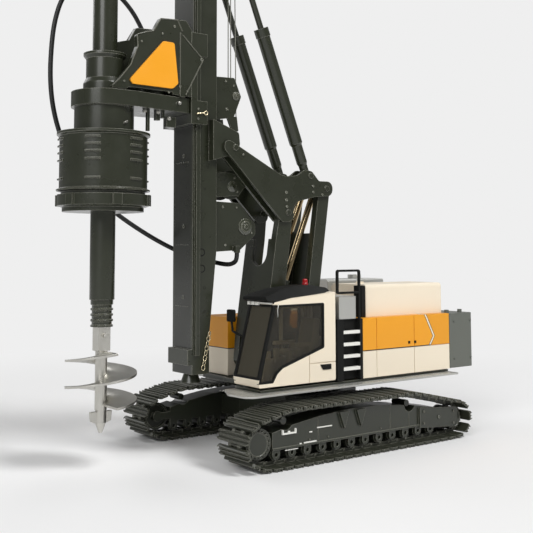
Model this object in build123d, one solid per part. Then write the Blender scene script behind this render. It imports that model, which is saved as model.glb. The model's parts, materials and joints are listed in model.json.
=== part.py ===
from build123d import *
from math import acos, atan2, cos, hypot, pi, radians, sin
import os

# A scale model of a rotary piling rig on tracks, about one fiftieth of the real machine.
# Millimetres. X points forward to the leader, Y to the cab side, Z up from the floor.
# Everything is set out from the slew axis at x = 0, and moved by CENTRE_X when it is written.

# Tracks
TRACK_GAUGE = 76.8          # centre to centre
SHOE_WIDTH = 20.3
SHOE_PITCH = 4.5
RIDGE_HEIGHT = 0.7
PLATE_THICK = 0.8
PIN_TO_PLATE = 0.7          # pin line to the inner face of a shoe plate
PLATE_ROOT = 0.1            # what stands between two plates of the band
LINK_HALF = 1.0             # half height of a chain link
CHAIN_WIDTH = 8.0
IDLER_X = 55.3
IDLER_Z = 10.6
IDLER_PIN_R = 7.5           # radius of the pin line round the idler
SPROCKET_X = -56.7
SPROCKET_Z = 8.7
SPROCKET_PIN_R = 6.3
CARRIER_PIN_R = 3.4
CARRIER_PIN_Z = 21.4        # height of the pin line over the carriers
CARRIER_X = (42.0, -28.0)
RUN_CLEARANCE = 0.1         # rollers and wheels to the chain
WHEEL_HALF = 4.8
WHEEL_SHIFT = 0.6           # wheels stand this far out of the middle of the chain
WHEEL_RIM = 0.8

# Track frames and car body
FRAME_HALF = 5.7
FRAME_BOTTOM = 7.8
FRAME_TOP = (
    # x, z of the humped top of a side frame, from front to rear
    (48.9, 14.2), (38.0, 16.4), (25.0, 18.2), (8.0, 19.4), (-8.0, 19.2), (-20.0, 18.2), (-35.0, 16.3),
    (-47.0, 14.2),
)
FRAME_SEAMS = (25.2, -15.8, -27.4)
SEAM_HALF = 0.15
SEAM_DEPTH = 0.35
DRIVE_COVER = (
    # x, z, corner radius of the plate over the drive at the rear of a side frame
    (-33.6, 6.8), (-33.6, 15.7, 0.8), (-58.4, 13.8, 2.0), (-58.4, 4.9, 2.0),
)
COVER_THICK = 1.0
FLANGE_HALF = 0.4
FLANGE_OUT = 0.5
GUSSET_X = (11.8, 2.2)
GUSSET_HALF = 2.6
GUSSET_TOP = 18.8
GUSSET_LOW = 11.8
GUSSET_OUT = 1.4
FORK_LAP = 2.0
FORK_THICK = 1.2
FORK_HALF = 1.6
ROLLER_COUNT = 12
ROLLER_FIRST_X = 46.9
ROLLER_PITCH = 8.01
ROLLER_Z = 5.55
EYE_R = 1.9
EYE_BORE_R = 0.8
EYE_THICK = 1.0
ROLLER_END_GAP = 0.2
BODY_HALF_X = 21.0
BODY_HALF_Y = 21.0
BODY_BOTTOM = 7.0
BODY_TOP = 22.6
BODY_CORNER = 4.0
ARM_X = 15.0
ARM_HALF = 5.0
ARM_LOW = 8.6
ARM_TOP = 21.0
ARM_OUTER_TOP = 17.0
ARM_ROOT = 3.0
SLEW_R = 20.0
SLEW_TOP = 26.0
SLEW_GAP = 0.3
SLEW_BORE_R = 14.0
SLEW_TEETH = 36
SLEW_TOOTH = 1.6

# Upper carriage
SIDE_Y = 32.0               # outer faces of the housings and the counterweight
BAY_Y = 12.6                # half width of the bay between cab and far housing
DECK_THICK = 1.9
DECK_TOP = 28.6
DECK_BAY_X = 33.0
DECK_FAR_X = 32.0
KEEL_FRONT = 16.0
KEEL_HALF = 5.0
KEEL_TOP = 34.0
LUG_WEB_TOP = 40.0
FRONT_LUGS = ((-1.2, 1.2), (6.3, 7.4), (-7.4, -6.3))
REAR_LUGS = ((6.0, 7.4), (-7.4, -6.0))
HOUSING_BOTTOM = 29.0
HOUSING_TOP = 55.5
HOUSING_FRONT = -11.7
HOUSING_REAR = -68.6
FAR_HOUSING_FRONT = 30.0
HOUSING_SEAMS = {1: (-20.1, -44.4), -1: (14.0, -12.0, -38.0)}
BAND_Z = 40.9               # seam between the two colours of the housings
ENGINE_TOP = 54.0
ENGINE_FRONT = -14.0
TAIL_X = -86.4
WEIGHT_BOTTOM = 29.15
WEIGHT_TOP = 55.2
NOTCH_HALF = 8.0
NOTCH_DEPTH = 1.2
LIFT_LUG_R = 1.1
LIFT_LUG_Y = 28.0
WALK_Y = 37.3
WALK_TOP = 27.65
WALK_THICK = 0.8
WALK_AHEAD = 9.6            # how far the step plate stands out ahead of the cab
LADDER_FRONT = 3.6
LADDER_BACK_Y = 29.4
LADDER_CHEEKS = (1.5, 3.7)   # rear and front
TANK_FRONT = -17.8
TANK_REAR = HOUSING_REAR + 0.4
TANK_TOP = 70.2
TANK_Y = 27.5
TANK_INNER_Y = 4.0
TANK_CAP_AT = (-26.0, 15.0)
TANK_CAP_R = 1.8
SILENCER_X = (-64.0, -26.0)
SILENCER_Y = (-26.0, -8.0)
SILENCER_TOP = 71.5
EXHAUST_AT = (-52.0, -17.0)
EXHAUST_R = 3.4
EXHAUST_HEIGHT = 2.0
RUNG_Z = (33.9, 39.3, 44.5, 49.8)
RUNG_HALF = 0.7
HANDRAIL_TOP = 77.3
RAIL_DROP = 10.7
RAIL_BAR = 1.0
RAIL_X = (-10.6, 3.4)
POST_WIDTH = 2.4
POST_DEPTH = 5.0
SEAT_GAP = 0.3              # between pieces that rest on each other

# Cab
CAB_REAR = 4.5
CAB_INNER_Y = 14.4
CAB_OUTER_Y = 31.8
CAB_BOTTOM = 29.7
CAB_TOP = 66.4
CAB_FOOT_X = 46.6
CAB_FOOT_Z = 32.7
CAB_BROW_X = 38.2
CAB_BROW_Z = 64.2
SILL_Z = 33.0
HEADER_Z = 63.2
CAB_WALL = 1.2
FRONT_WALL = 1.4            # front wall, measured along X
CAB_SEAL = 0.9              # width of the black window surround
PILLAR = 1.3                # black corner pillars, seen from the side or the front
GLASS_THICK = 0.5
GLASS_BACK = 0.4            # panes stand this far behind the outer faces
GLASS_FIT = 0.05
DOOR_SEAM_X = 19.3
DOOR_SEAM_Z = 37.7
SEAT_HALF = 4.5
ARM_OUT_Y = 7.0
ROOF_TOP = 71.0
BEACON_AT = (11.8, 20.0)
BEACON_R = 1.4
BEACON_Z = 70.1
LAMP_COUNT = 3
LAMP_SIDE = 1.9
LAMP_PITCH = 2.7
MIRROR_ARM_R = 0.5

# Parallelogram linkage, as points in the XZ plane
FRONT_FOOT = (25.0, 37.0)
REAR_FOOT = (2.1, 48.7)
FRONT_HEAD = (15.4, 102.8)
REAR_HEAD = (-7.5, 114.5)
STAY_FOOT = (2.2, 120.0)
LEADER_PIN = (44.5, 130.2)
PIN_R = 1.3
RUN_FIT = 0.06              # radial clearance of a pin in its eye
LINK_OUT = 11.3
LINK_IN = 7.7
ROCKER_OUT = 12.9
ROCKER_GAP_OUT = 11.7
ROCKER_GAP_IN = 7.3
ROCKER_IN = 6.2
ROCKER_PLAY = 0.3           # leader lugs to the rocker plates
ROCKER_TIE = (24.0, 116.4)
PIN_HEAD = 0.6
LINK_DEPTH = 4.0            # half depth of the front link
REAR_DEPTH = 3.2
REAR_WEB = (14.0, 46.0)     # span of the rear cross web along the link
WEB_LOW = 9.5
WEB_HIGH = 54.0
WEB_THICK = 1.5
SLOT_CENTRE = 48.0
SLOT_R = 5.6

# Luffing cylinders between the front foot and the rear head
LUFF_Y = 4.0
LUFF_BARREL_R = 2.0
LUFF_ROD_R = 1.5
LUFF_EYE_R = 2.6
LUFF_BARREL_LENGTH = 38.0
LUFF_ROD_START = 18.0
LUFF_EYE_HALF = 1.5
OPEN_EYE_BORE = 1.75        # bore of an eye that drifts about its pin

# Stay cylinders between the rocker and the leader
STAY_Y = 9.5
STAY_HEAD = (46.3, 231.0)
STAY_BARREL_R = 3.0
STAY_FOOT_R = 2.0           # where a barrel stands between the rocker plates
STAY_NECK_R = 2.45          # from above the plates up to the shoulder
STAY_NECK = 5.4
STAY_SHOULDER = 15.0
STAY_ROD_R = 1.35
STAY_BARREL_LENGTH = 70.5
STAY_EYE_R = 2.6
STAY_ROD_START = 24.0
STAY_EYE_HALF = 1.4
STAY_EARS = ((6.4, 7.8), (11.2, 12.6))
PAD_HALF = 9.0
COLLAR_LENGTH = 4.0         # collar at the open end of each barrel
COLLAR_STEP = 0.35
LUFF_STEPS = (
    # distance from the foot, radius
    (LUFF_EYE_R, LUFF_BARREL_R), (LUFF_BARREL_LENGTH, LUFF_BARREL_R),
)
STAY_STEPS = (
    (STAY_NECK, STAY_FOOT_R), (STAY_NECK + 1.2, STAY_NECK_R), (STAY_SHOULDER, STAY_NECK_R),
    (STAY_SHOULDER + 1.0, STAY_BARREL_R), (STAY_BARREL_LENGTH, STAY_BARREL_R),
)

# Leader
LEADER_REAR = 51.0
LEADER_FRONT = 63.0
LEADER_HALF = 7.8
LEADER_WALL = 1.4
LEADER_BOTTOM = 34.0
TOTAL_HEIGHT = 600.0
LEADER_TOP = TOTAL_HEIGHT - 38.0
LEADER_TAPER_TOP = 85.0
LEADER_TAPER_LOW = 50.0
LEADER_TAPER = 3.5
RAIL_OUT = 9.1
RAIL_DEPTH = 2.0
RAIL_INSET = 0.9
RAIL_TOP = LEADER_TOP - 19.0
RAIL_LOW = 42.0
STOP_Z = (38.0, 44.5)
FOOT_LENGTH = 4.0
FOOT_R = 4.3
FOOT_TOP_R = 2.8
HEAD_LAP = 18.0
HEAD_WALL = 1.4
WINCH_HALF = 5.0
WINCH_PLATE_Y = WINCH_HALF + 0.9
SHEAVE_R = 7.5
SHEAVE_HALF = 2.2

# Rotary head and sledge on the Kelly axis
SLEDGE_GAP = 0.25           # sledge to the guide rails
SLEDGE_X = LEADER_FRONT + SLEDGE_GAP
SLEDGE_Z = (139.0, 178.0)
GRIP = 2.4
GRIP_HEIGHT = 10.0
SHIELD_IN = 9.0
SHIELD_OUT = 11.4
SHIELD_LOW = 150.3
KELLY_X = 100.9
KELLY_R = 5.0
KELLY_TOP = TOTAL_HEIGHT - 130.0
KELLY_LOW = 66.2
KELLY_FIT = 0.35            # radial room of the Kelly bar in the head
COLLAR_R = 7.5
COLLAR_FLANGE_R = 8.6
COLLAR_TOP = 165.7
COLLAR_LOW = 149.9
GEAR_TOP = 149.6
GEAR_LOW = 143.4
GEAR_R = 13.3
GEAR_REAR_Y = 10.0
MOTOR_X = 80.0
MOTOR_Y = 4.6
MOTOR_R = 3.6
MOTOR_HEIGHT = 18.4
NECK_R = 12.0
NECK_LOW = 133.4
DRUM_TOP = 133.0
DRUM_R = 17.6
DRUM_RIM_R = 18.7
DRUM_LOW = 109.5
DRUM_RIB_R = 18.4
DRUM_RIB_Z = (130.0, 127.2, 124.4, 121.4, 114.0)
DRUM_RIB_FIRST = 49.0       # heading of the first column of ribs
DRUM_RIB_HALF = 10.0        # half the angle that a column covers
RING_TOP = 108.0
RING_LOW = 103.5
RING_R = 18.3
LIP_R = 16.3
LIP_LOW = 101.2
LUG_R = 19.2
LUG_HALF = 1.8
GROOVE_R = 16.8

# Kelly stub and auger
STUB_R = 4.5
STUB_LOW = 55.5
STUB_RIBS = 4
STUB_RIB_PITCH = 2.2
SOCKET_PIN_R = 0.9
SOCKET_HALF = 2.6
SOCKET_LOW = 46.0
STEM_R = 2.4
FLIGHT_R = 14.2
FLIGHT_PITCH = 10.4
FLIGHT_TOP = 45.6
FLIGHT_TURNS = 2
FLIGHT_THICK = 0.9
FLIGHT_START = 90.0         # heading of the lower end of the screw
TIP_LOW = 13.9
PILOT_R = 2.2
WING_HALF = 0.9

# Hydraulic hose from the sledge round the far side of the drill head to the back of the leader
HOSE_R = 1.0
HOSE_FITTING_Y = 13.0       # outer end of the fitting on the far shield
HOSE_GLAND = (40.0, 7.6, 84.8)
HOSE_ROUTE = (
    (72.0, -13.0, 178.0), (72.0, -16.2, 178.0), (73.2, -18.4, 183.6), (78.0, -18.8, 191.5),
    (85.5, -18.6, 198.0), (95.0, -18.8, 202.0), (104.5, -19.2, 200.5), (111.0, -19.6, 193.0),
    (114.4, -20.0, 181.5), (115.6, -20.0, 169.0), (115.7, -20.2, 157.0), (114.2, -20.6, 145.5),
    (110.6, -21.0, 134.0), (104.2, -21.8, 122.0), (95.6, -22.0, 111.0), (84.6, -20.6, 102.0),
    (73.0, -18.6, 94.4), (61.5, -15.8, 87.8), (51.6, -11.0, 83.0), (45.0, -4.0, 80.8),
    (41.2, 2.4, 79.4), (40.0, 6.4, 80.6), (40.0, 7.6, 83.0), (40.0, 7.6, 84.8),
)

CENTRE_X = -(KELLY_X + LUG_R + TAIL_X) / 2
SIDES = (("left", 1), ("right", -1))
os.makedirs("parts", exist_ok=True)


def write(name, shape):
    """Writes one named piece, moved so that the origin lies under the middle of the model."""
    shape = Pos(CENTRE_X, 0, 0) * shape
    shape.label = name
    export_step(shape, f"parts/{name}.step")


def outline(points):
    """A face in a plane from (u, v) corners, each with an optional corner radius as third value."""
    corners = [(p[0], p[1], p[2] if len(p) > 2 else 0.0) for p in points]
    count = len(corners)
    ends = []
    for i, (u, v, radius) in enumerate(corners):
        before, after = corners[i - 1], corners[(i + 1) % count]
        to_before = Vector(before[0] - u, before[1] - v)
        to_after = Vector(after[0] - u, after[1] - v)
        a = to_before.normalized()
        b = to_after.normalized()
        if radius <= 0 or (a + b).length < 1e-6:
            ends.append((Vector(u, v), None, Vector(u, v)))
            continue
        half = acos(max(-1.0, min(1.0, a.dot(b)))) / 2
        reach = radius / (sin(half) / cos(half))
        start = Vector(u, v) + a * reach
        end = Vector(u, v) + b * reach
        middle = Vector(u, v) + (a + b).normalized() * (radius / sin(half) - radius)
        ends.append((start, middle, end))
    edges = []
    for i, (start, middle, end) in enumerate(ends):
        if middle is not None:
            edges.append(ThreePointArc(start, middle, end))
        following = ends[(i + 1) % count][0]
        if (following - end).length > 1e-6:
            edges.append(Line(end, following))
    return make_face(Wire(edges))


def plate_xz(points, y0, y1):
    """A plate whose (x, z) outline is carried from y0 to y1."""
    face = Pos(0, y0, 0) * (Plane.XZ * outline(points))
    return extrude(face, amount=y1 - y0, dir=(0, 1, 0))


def plate_xy(points, z0, z1):
    """A plate whose (x, y) outline is carried from z0 to z1."""
    return extrude(Pos(0, 0, z0) * outline(points), amount=z1 - z0, dir=(0, 0, 1))


def plate_yz(points, x0, x1):
    """A plate whose (y, z) outline is carried from x0 to x1."""
    face = Pos(x0, 0, 0) * (Plane.YZ * outline(points))
    return extrude(face, amount=x1 - x0, dir=(1, 0, 0))


def block(x0, x1, y0, y1, z0, z1):
    """A box between two corners."""
    size = (abs(x1 - x0), abs(y1 - y0), abs(z1 - z0))
    return Pos((x0 + x1) / 2, (y0 + y1) / 2, (z0 + z1) / 2) * Box(*size)


def rod(start, end, radius):
    """A round bar between two points."""
    a, b = Vector(start), Vector(end)
    return Plane(origin=a, z_dir=b - a) * extrude(Circle(radius), (b - a).length)


def bar_y(x, z, radius, y0, y1):
    """A round bar along Y."""
    return rod((x, y0, z), (x, y1, z), radius)


def bar_z(x, y, radius, z0, z1):
    """A round bar along Z."""
    return rod((x, y, z0), (x, y, z1), radius)


def turned(x, y, points):
    """A body turned about a vertical axis through (x, y), from (radius, z) corners."""
    face = Plane.XZ * outline(points)
    return Pos(x, y, 0) * revolve(face, Axis.Z)


def both_sides(shape):
    """A piece together with its mirror image across the middle plane."""
    return shape + mirror(shape, Plane.XZ)


def joined(shapes):
    """All shapes of a list fused into one."""
    shapes = list(shapes)
    return shapes[0] + shapes[1:] if len(shapes) > 1 else shapes[0]


def along(start, end, distance, aside=0.0):
    """The (x, z) point at a distance from start towards end, and aside to its forward side."""
    dx, dz = end[0] - start[0], end[1] - start[1]
    length = hypot(dx, dz)
    ux, uz = dx / length, dz / length
    return (start[0] + ux * distance + uz * aside, start[1] + uz * distance - ux * aside)


# Track chain
PIN_LINE_LOW = PIN_TO_PLATE + PLATE_THICK + RIDGE_HEIGHT
TRACK_WHEELS = (
    # x, z, radius of the pin line, in the order in which the chain meets them
    (SPROCKET_X, SPROCKET_Z, SPROCKET_PIN_R),
    (IDLER_X, IDLER_Z, IDLER_PIN_R),
    (CARRIER_X[0], CARRIER_PIN_Z - CARRIER_PIN_R, CARRIER_PIN_R),
    (CARRIER_X[1], CARRIER_PIN_Z - CARRIER_PIN_R, CARRIER_PIN_R),
)
GUIDES = (
    TRACK_WHEELS[0],
    (ROLLER_FIRST_X - ROLLER_PITCH * (ROLLER_COUNT - 1) - SHOE_PITCH, PIN_LINE_LOW + 0.01, 0.01),
    (ROLLER_FIRST_X + SHOE_PITCH, PIN_LINE_LOW + 0.01, 0.01),
) + TRACK_WHEELS[1:]


def chain_spans(guides):
    """Straight spans and arcs of a belt round circles: a list of (kind, length, data)."""
    normals = []
    for i, (x, z, r) in enumerate(guides):
        nx, nz, nr = guides[(i + 1) % len(guides)]
        heading = atan2(nz - z, nx - x)
        normals.append(heading - acos((r - nr) / hypot(nx - x, nz - z)))
    spans = []
    for i, (x, z, r) in enumerate(guides):
        turn = (normals[i] - normals[i - 1]) % (2 * pi)
        spans.append(("arc", r * turn, (x, z, r, normals[i - 1])))
        nx, nz, nr = guides[(i + 1) % len(guides)]
        start = (x + r * cos(normals[i]), z + r * sin(normals[i]))
        end = (nx + nr * cos(normals[i]), nz + nr * sin(normals[i]))
        spans.append(("line", hypot(end[0] - start[0], end[1] - start[1]), (start, end)))
    return spans


def chain_pins(guides, pitch):
    """Evenly spaced pins along the belt."""
    spans = chain_spans(guides)
    total = sum(span[1] for span in spans)
    count = round(total / pitch)
    pins = []
    for k in range(count):
        rest = total * k / count
        for kind, length, data in spans:
            if rest <= length:
                break
            rest -= length
        if kind == "arc":
            x, z, r, first = data
            angle = first + rest / r
            pins.append((x + r * cos(angle), z + r * sin(angle)))
        else:
            (x0, z0), (x1, z1) = data
            share = rest / length
            pins.append((x0 + (x1 - x0) * share, z0 + (z1 - z0) * share))
    return pins


SHOE_PROFILE = (
    # share of the pitch, share of the height from plate root to ridge tip
    (0.04, 0.0), (0.04, 1.0), (0.18, 1.0), (0.30, 0.53), (0.50, 0.85), (0.70, 0.53),
    (0.82, 1.0), (0.96, 1.0), (0.96, 0.0),
)


def chain_offset(pins, profile):
    """Corners of a closed line that follows the pins, with one profile to each link."""
    corners = []
    for k, (x0, z0) in enumerate(pins):
        x1, z1 = pins[(k + 1) % len(pins)]
        length = hypot(x1 - x0, z1 - z0)
        tx, tz = (x1 - x0) / length, (z1 - z0) / length
        for share, height in profile:
            along_link = share * length
            corners.append((x0 + tx * along_link + tz * height, z0 + tz * along_link - tx * height))
    return corners


def track_loop():
    """Shoe band with three ridges on each plate, and the link chain inside it."""
    middle = TRACK_GAUGE / 2
    pins = chain_pins(GUIDES, SHOE_PITCH)
    root = PIN_TO_PLATE + PLATE_ROOT
    tip = PIN_TO_PLATE + PLATE_THICK + RIDGE_HEIGHT
    plates = [(s, root + h * (tip - root)) for s, h in SHOE_PROFILE]
    outer = chain_offset(pins, plates)
    inner = chain_offset(pins, [(0.5, PIN_TO_PLATE)])
    shoes = plate_xz(outer, middle - SHOE_WIDTH / 2, middle + SHOE_WIDTH / 2)
    hollow = plate_xz(inner, middle - SHOE_WIDTH, middle + SHOE_WIDTH)
    band = plate_xz(inner, middle - CHAIN_WIDTH / 2, middle + CHAIN_WIDTH / 2)
    core = plate_xz(chain_offset(pins, [(0.0, -LINK_HALF)]), middle - SHOE_WIDTH, middle + SHOE_WIDTH)
    return (shoes - hollow) + (band - core)


def inside_chain(pin_r):
    """Radius of a wheel that clears the chords of the chain links round it."""
    return (pin_r ** 2 - (SHOE_PITCH / 2) ** 2) ** 0.5 - LINK_HALF - RUN_CLEARANCE


def wheel(x, z, radius, y, half):
    """A wheel with a raised rim, turned about a cross axis."""
    dish = half - WHEEL_RIM
    steps = ((0.0, half), (0.3, half), (0.38, dish), (0.78, dish), (0.86, half), (1.0, half))
    upper = [(radius * share, height) for share, height in steps]
    face = outline(upper + [(r, -h) for r, h in reversed(upper)])
    return Pos(x, y, z) * revolve(Plane.XY * face, Axis.Y)


def track_side(name, side):
    """Writes the pieces of one track, built on the left and mirrored for the right."""
    def placed(shape):
        return shape if side > 0 else mirror(shape, Plane.XZ)
    middle = TRACK_GAUGE / 2
    write(f"track_{name}", placed(track_loop()))
    wheels = [wheel(x, z, inside_chain(pin_r), middle + WHEEL_SHIFT, WHEEL_HALF)
              for x, z, pin_r in TRACK_WHEELS[:2]]
    write(f"track_wheels_{name}", placed(Compound(wheels)))
    roller_r = ROLLER_Z - PIN_LINE_LOW - LINK_HALF - RUN_CLEARANCE
    half = FRAME_HALF - EYE_THICK - ROLLER_END_GAP
    rollers = [bar_y(ROLLER_FIRST_X - k * ROLLER_PITCH, ROLLER_Z, roller_r, middle - half, middle + half)
               for k in range(ROLLER_COUNT)]
    carriers = [bar_y(x, z, inside_chain(pin_r), middle - CHAIN_WIDTH / 2, middle + CHAIN_WIDTH / 2)
                for x, z, pin_r in TRACK_WHEELS[2:]]
    write(f"track_rollers_{name}", placed(Compound(rollers + carriers)))
    write(f"track_frame_{name}", placed(track_frame()))


def track_frame():
    """Side frame with a humped top, roller eyes under it, carrier notches and the drive cover."""
    middle = TRACK_GAUGE / 2
    low, high = middle - FRAME_HALF, middle + FRAME_HALF
    front, rear = FRAME_TOP[0][0], FRAME_TOP[-1][0]
    body = plate_xz([(rear, FRAME_BOTTOM), (front, FRAME_BOTTOM), *FRAME_TOP], low, high)
    for x, z, pin_r in TRACK_WHEELS[2:]:
        body -= bar_y(x, z, pin_r, low - 1, high + 1)
    for x in FRAME_SEAMS:
        body -= block(x - SEAM_HALF, x + SEAM_HALF, high - SEAM_DEPTH, high + 1, 0, CARRIER_PIN_Z)
    eyes = []
    for k in range(ROLLER_COUNT):
        x = ROLLER_FIRST_X - k * ROLLER_PITCH
        for y0, y1 in ((low, low + EYE_THICK), (high - EYE_THICK, high)):
            ear = bar_y(x, ROLLER_Z, EYE_R, y0, y1) + block(x - EYE_R, x + EYE_R, y0, y1,
                                                            ROLLER_Z, FRAME_BOTTOM)
            eyes.append(ear - bar_y(x, ROLLER_Z, EYE_BORE_R, y0 - 1, y1 + 1))
    cover = plate_xz(DRIVE_COVER, high, high + COVER_THICK)
    flange = block(DRIVE_COVER[0][0], front, high, high + FLANGE_OUT, FRAME_BOTTOM - FLANGE_HALF,
                   FRAME_BOTTOM + FLANGE_HALF)
    gussets = [plate_xz([(x - GUSSET_HALF, GUSSET_TOP), (x, GUSSET_LOW), (x + GUSSET_HALF, GUSSET_TOP)],
                        high, high + GUSSET_OUT) for x in GUSSET_X]
    forks = []
    for near, (x, z, pin_r) in ((front - FORK_LAP, TRACK_WHEELS[1]), (rear + FORK_LAP, TRACK_WHEELS[0])):
        forks.append(block(near, x, low, low + FORK_THICK, z - FORK_HALF, z + FORK_HALF))
        forks.append(bar_y(x, z, FORK_HALF * 1.5, low, low + FORK_THICK))
    return joined([body, cover, flange] + gussets + eyes + forks)


def car_body():
    """Centre box with cut corners, and two cross members that carry the track frames."""
    inner_frame = TRACK_GAUGE / 2 - FRAME_HALF
    hx, hy, cut = BODY_HALF_X, BODY_HALF_Y, BODY_CORNER
    centre = plate_xy([(hx, -hy + cut), (hx, hy - cut), (hx - cut, hy), (cut - hx, hy),
                       (-hx, hy - cut), (-hx, cut - hy), (cut - hx, -hy), (hx - cut, -hy)],
                      BODY_BOTTOM, BODY_TOP)
    section = [(-inner_frame, ARM_LOW), (-inner_frame, ARM_OUTER_TOP), (-hy + ARM_ROOT, ARM_TOP),
               (hy - ARM_ROOT, ARM_TOP), (inner_frame, ARM_OUTER_TOP), (inner_frame, ARM_LOW)]
    arms = [plate_yz(section, x - ARM_HALF, x + ARM_HALF) for x in (ARM_X, -ARM_X)]
    return joined([centre] + arms)


def slew_ring():
    """Toothed lower ring of the slewing bearing, on the car body."""
    root = SLEW_R - SLEW_TOOTH
    ring = bar_z(0, 0, root, BODY_TOP, SLEW_TOP) - bar_z(0, 0, SLEW_BORE_R, BODY_TOP - 1, SLEW_TOP + 1)
    tooth = block(root - SLEW_TOOTH / 2, SLEW_R, -SLEW_TOOTH / 2, SLEW_TOOTH / 2, BODY_TOP,
                  SLEW_TOP - SLEW_TOOTH / 2)
    return joined([ring] + [Rot(0, 0, 360 / SLEW_TEETH * k) * tooth for k in range(SLEW_TEETH)])


def deck():
    """Upper frame: deck plate, centre keel and the lugs that carry the two links."""
    low = DECK_TOP - DECK_THICK
    edge = SIDE_Y - 1.0
    plate = plate_xy([(HOUSING_REAR, -edge), (HOUSING_REAR, edge), (CAB_FOOT_X - 2.0, edge),
                      (CAB_FOOT_X - 2.0, BAY_Y), (DECK_BAY_X, BAY_Y), (DECK_BAY_X, -BAY_Y),
                      (DECK_FAR_X, -BAY_Y), (DECK_FAR_X, -edge)], low, DECK_TOP)
    upper_ring = bar_z(0, 0, SLEW_R - 2.0, SLEW_TOP + SLEW_GAP, low)
    spigot = bar_z(0, 0, SLEW_BORE_R - RUN_FIT, BODY_TOP + SLEW_GAP, low)
    keel = block(HOUSING_REAR, KEEL_FRONT, -KEEL_HALF, KEEL_HALF, DECK_TOP, KEEL_TOP)
    root = DECK_TOP - 1.0
    lugs = []
    feet = (
        # pin, reach behind it, reach ahead of it, layers across
        (FRONT_FOOT, 9.0, 7.0, FRONT_LUGS),
        (REAR_FOOT, 12.0, 9.0, REAR_LUGS),
    )
    for (x, z), behind, ahead, layers in feet:
        shape = [(x - behind, root), (x + ahead, root), (x + 3.2, z + 2.6, 2.0), (x - 3.2, z + 2.6, 2.0)]
        lugs += [plate_xz(shape, y0, y1) for y0, y1 in layers]
    rear_x, reach = REAR_FOOT[0], REAR_LUGS[0][1]
    lugs.append(block(rear_x - 9.0, rear_x - 6.0, -reach, reach, root, LUG_WEB_TOP))
    pins = [bar_y(*foot, PIN_R, -LINK_OUT, LINK_OUT) for foot in (FRONT_FOOT, REAR_FOOT)]
    return joined([plate, upper_ring, spigot, keel] + lugs + pins)


def walkway(side):
    """Thin step plate along one side, rounded in front of the cab."""
    low = WALK_TOP - WALK_THICK
    edge = SIDE_Y - 1.0 + SEAT_GAP / 3
    cab_x, cab_y = CAB_FOOT_X - 1.8, BAY_Y + 0.4
    front = CAB_FOOT_X + WALK_AHEAD
    points = [(HOUSING_REAR, edge), (cab_x, edge), (cab_x, cab_y), (front - 6.0, cab_y, 2.0),
              (front, cab_y + 11.0, 4.0), (front - 1.0, WALK_Y, 5.0), (HOUSING_REAR, WALK_Y)]
    if side < 0:
        points = [(HOUSING_REAR, edge), (DECK_FAR_X, edge), (DECK_FAR_X, WALK_Y, 3.0),
                  (HOUSING_REAR, WALK_Y)]
    plate = plate_xy(points, low, WALK_TOP)
    return plate if side > 0 else mirror(plate, Plane.XZ)


def front_x(z):
    """X of the sloping front face of the cab at a height."""
    share = (z - CAB_FOOT_Z) / (CAB_BROW_Z - CAB_FOOT_Z)
    return CAB_FOOT_X + (CAB_BROW_X - CAB_FOOT_X) * share


def front_band(z0, z1, behind, ahead):
    """A cutter along the sloping front, from behind the face to ahead of it."""
    corners = [(front_x(z0) - behind, z0), (front_x(z0) + ahead, z0), (front_x(z1) + ahead, z1),
               (front_x(z1) - behind, z1)]
    return plate_xz(corners, CAB_INNER_Y - 1, CAB_OUTER_Y + 1)


CAB_SIDE = (
    # x, z, corner radius of the side outline; the top edge rises to the rear
    (CAB_REAR, CAB_BOTTOM, 0.8), (CAB_REAR, CAB_TOP + 1.6, 1.0), (CAB_REAR + 4.0, CAB_TOP + 0.8, 2.0),
    (CAB_REAR + 14.0, CAB_TOP, 10.0), (CAB_REAR + 24.0, CAB_TOP - 0.7, 10.0), (CAB_BROW_X, CAB_BROW_Z, 0.8),
    (CAB_FOOT_X, CAB_FOOT_Z, 1.0), (CAB_FOOT_X - 0.6, CAB_BOTTOM, 0.8),
)
SIDE_OPENING = (
    # x, z, corner radius of the window opening in both side walls
    (10.9, 44.0, 1.0), (10.9, 63.2, 0.8), (38.2, 63.0), (46.4, SILL_Z - 1.8), (38.8, SILL_Z - 1.8, 1.0),
    (36.5, 34.8, 1.5), (33.6, 36.9, 1.0),
)
BACK_WINDOW = (
    # y, z, corner radius of the rear window opening
    (CAB_INNER_Y + 3.0, 48.0, 0.8), (CAB_OUTER_Y - 3.0, 48.0, 0.8),
    (CAB_OUTER_Y - 3.0, HEADER_Z, 1.0), (CAB_INNER_Y + 3.0, HEADER_Z, 1.0),
)
def screen_outline():
    """Outline of the windscreen between the corner pillars, as y and z."""
    y0, y1 = CAB_INNER_Y + PILLAR, CAB_OUTER_Y - PILLAR
    z0, z1 = SILL_Z + CAB_SEAL, HEADER_Z - CAB_SEAL
    return outline([(y0, z0, 0.8), (y1, z0, 0.8), (y1, z1, 0.8), (y0, z1, 0.8)])
def cab_walls():
    """Closed hollow body of the cab, before the openings."""
    body = plate_xz(CAB_SIDE, CAB_INNER_Y, CAB_OUTER_Y)
    floor, top = CAB_BOTTOM + CAB_WALL, CAB_BROW_Z - CAB_WALL
    room = plate_xz([(CAB_REAR + CAB_WALL, floor), (CAB_REAR + CAB_WALL, CAB_TOP - CAB_WALL),
                     (CAB_REAR + 20.0, CAB_TOP - CAB_WALL - 0.6), (front_x(top) - FRONT_WALL, top),
                     (CAB_FOOT_X - FRONT_WALL, CAB_FOOT_Z), (CAB_FOOT_X - 2.0, floor)],
                    CAB_INNER_Y + CAB_WALL, CAB_OUTER_Y - CAB_WALL)
    return body - room


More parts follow.
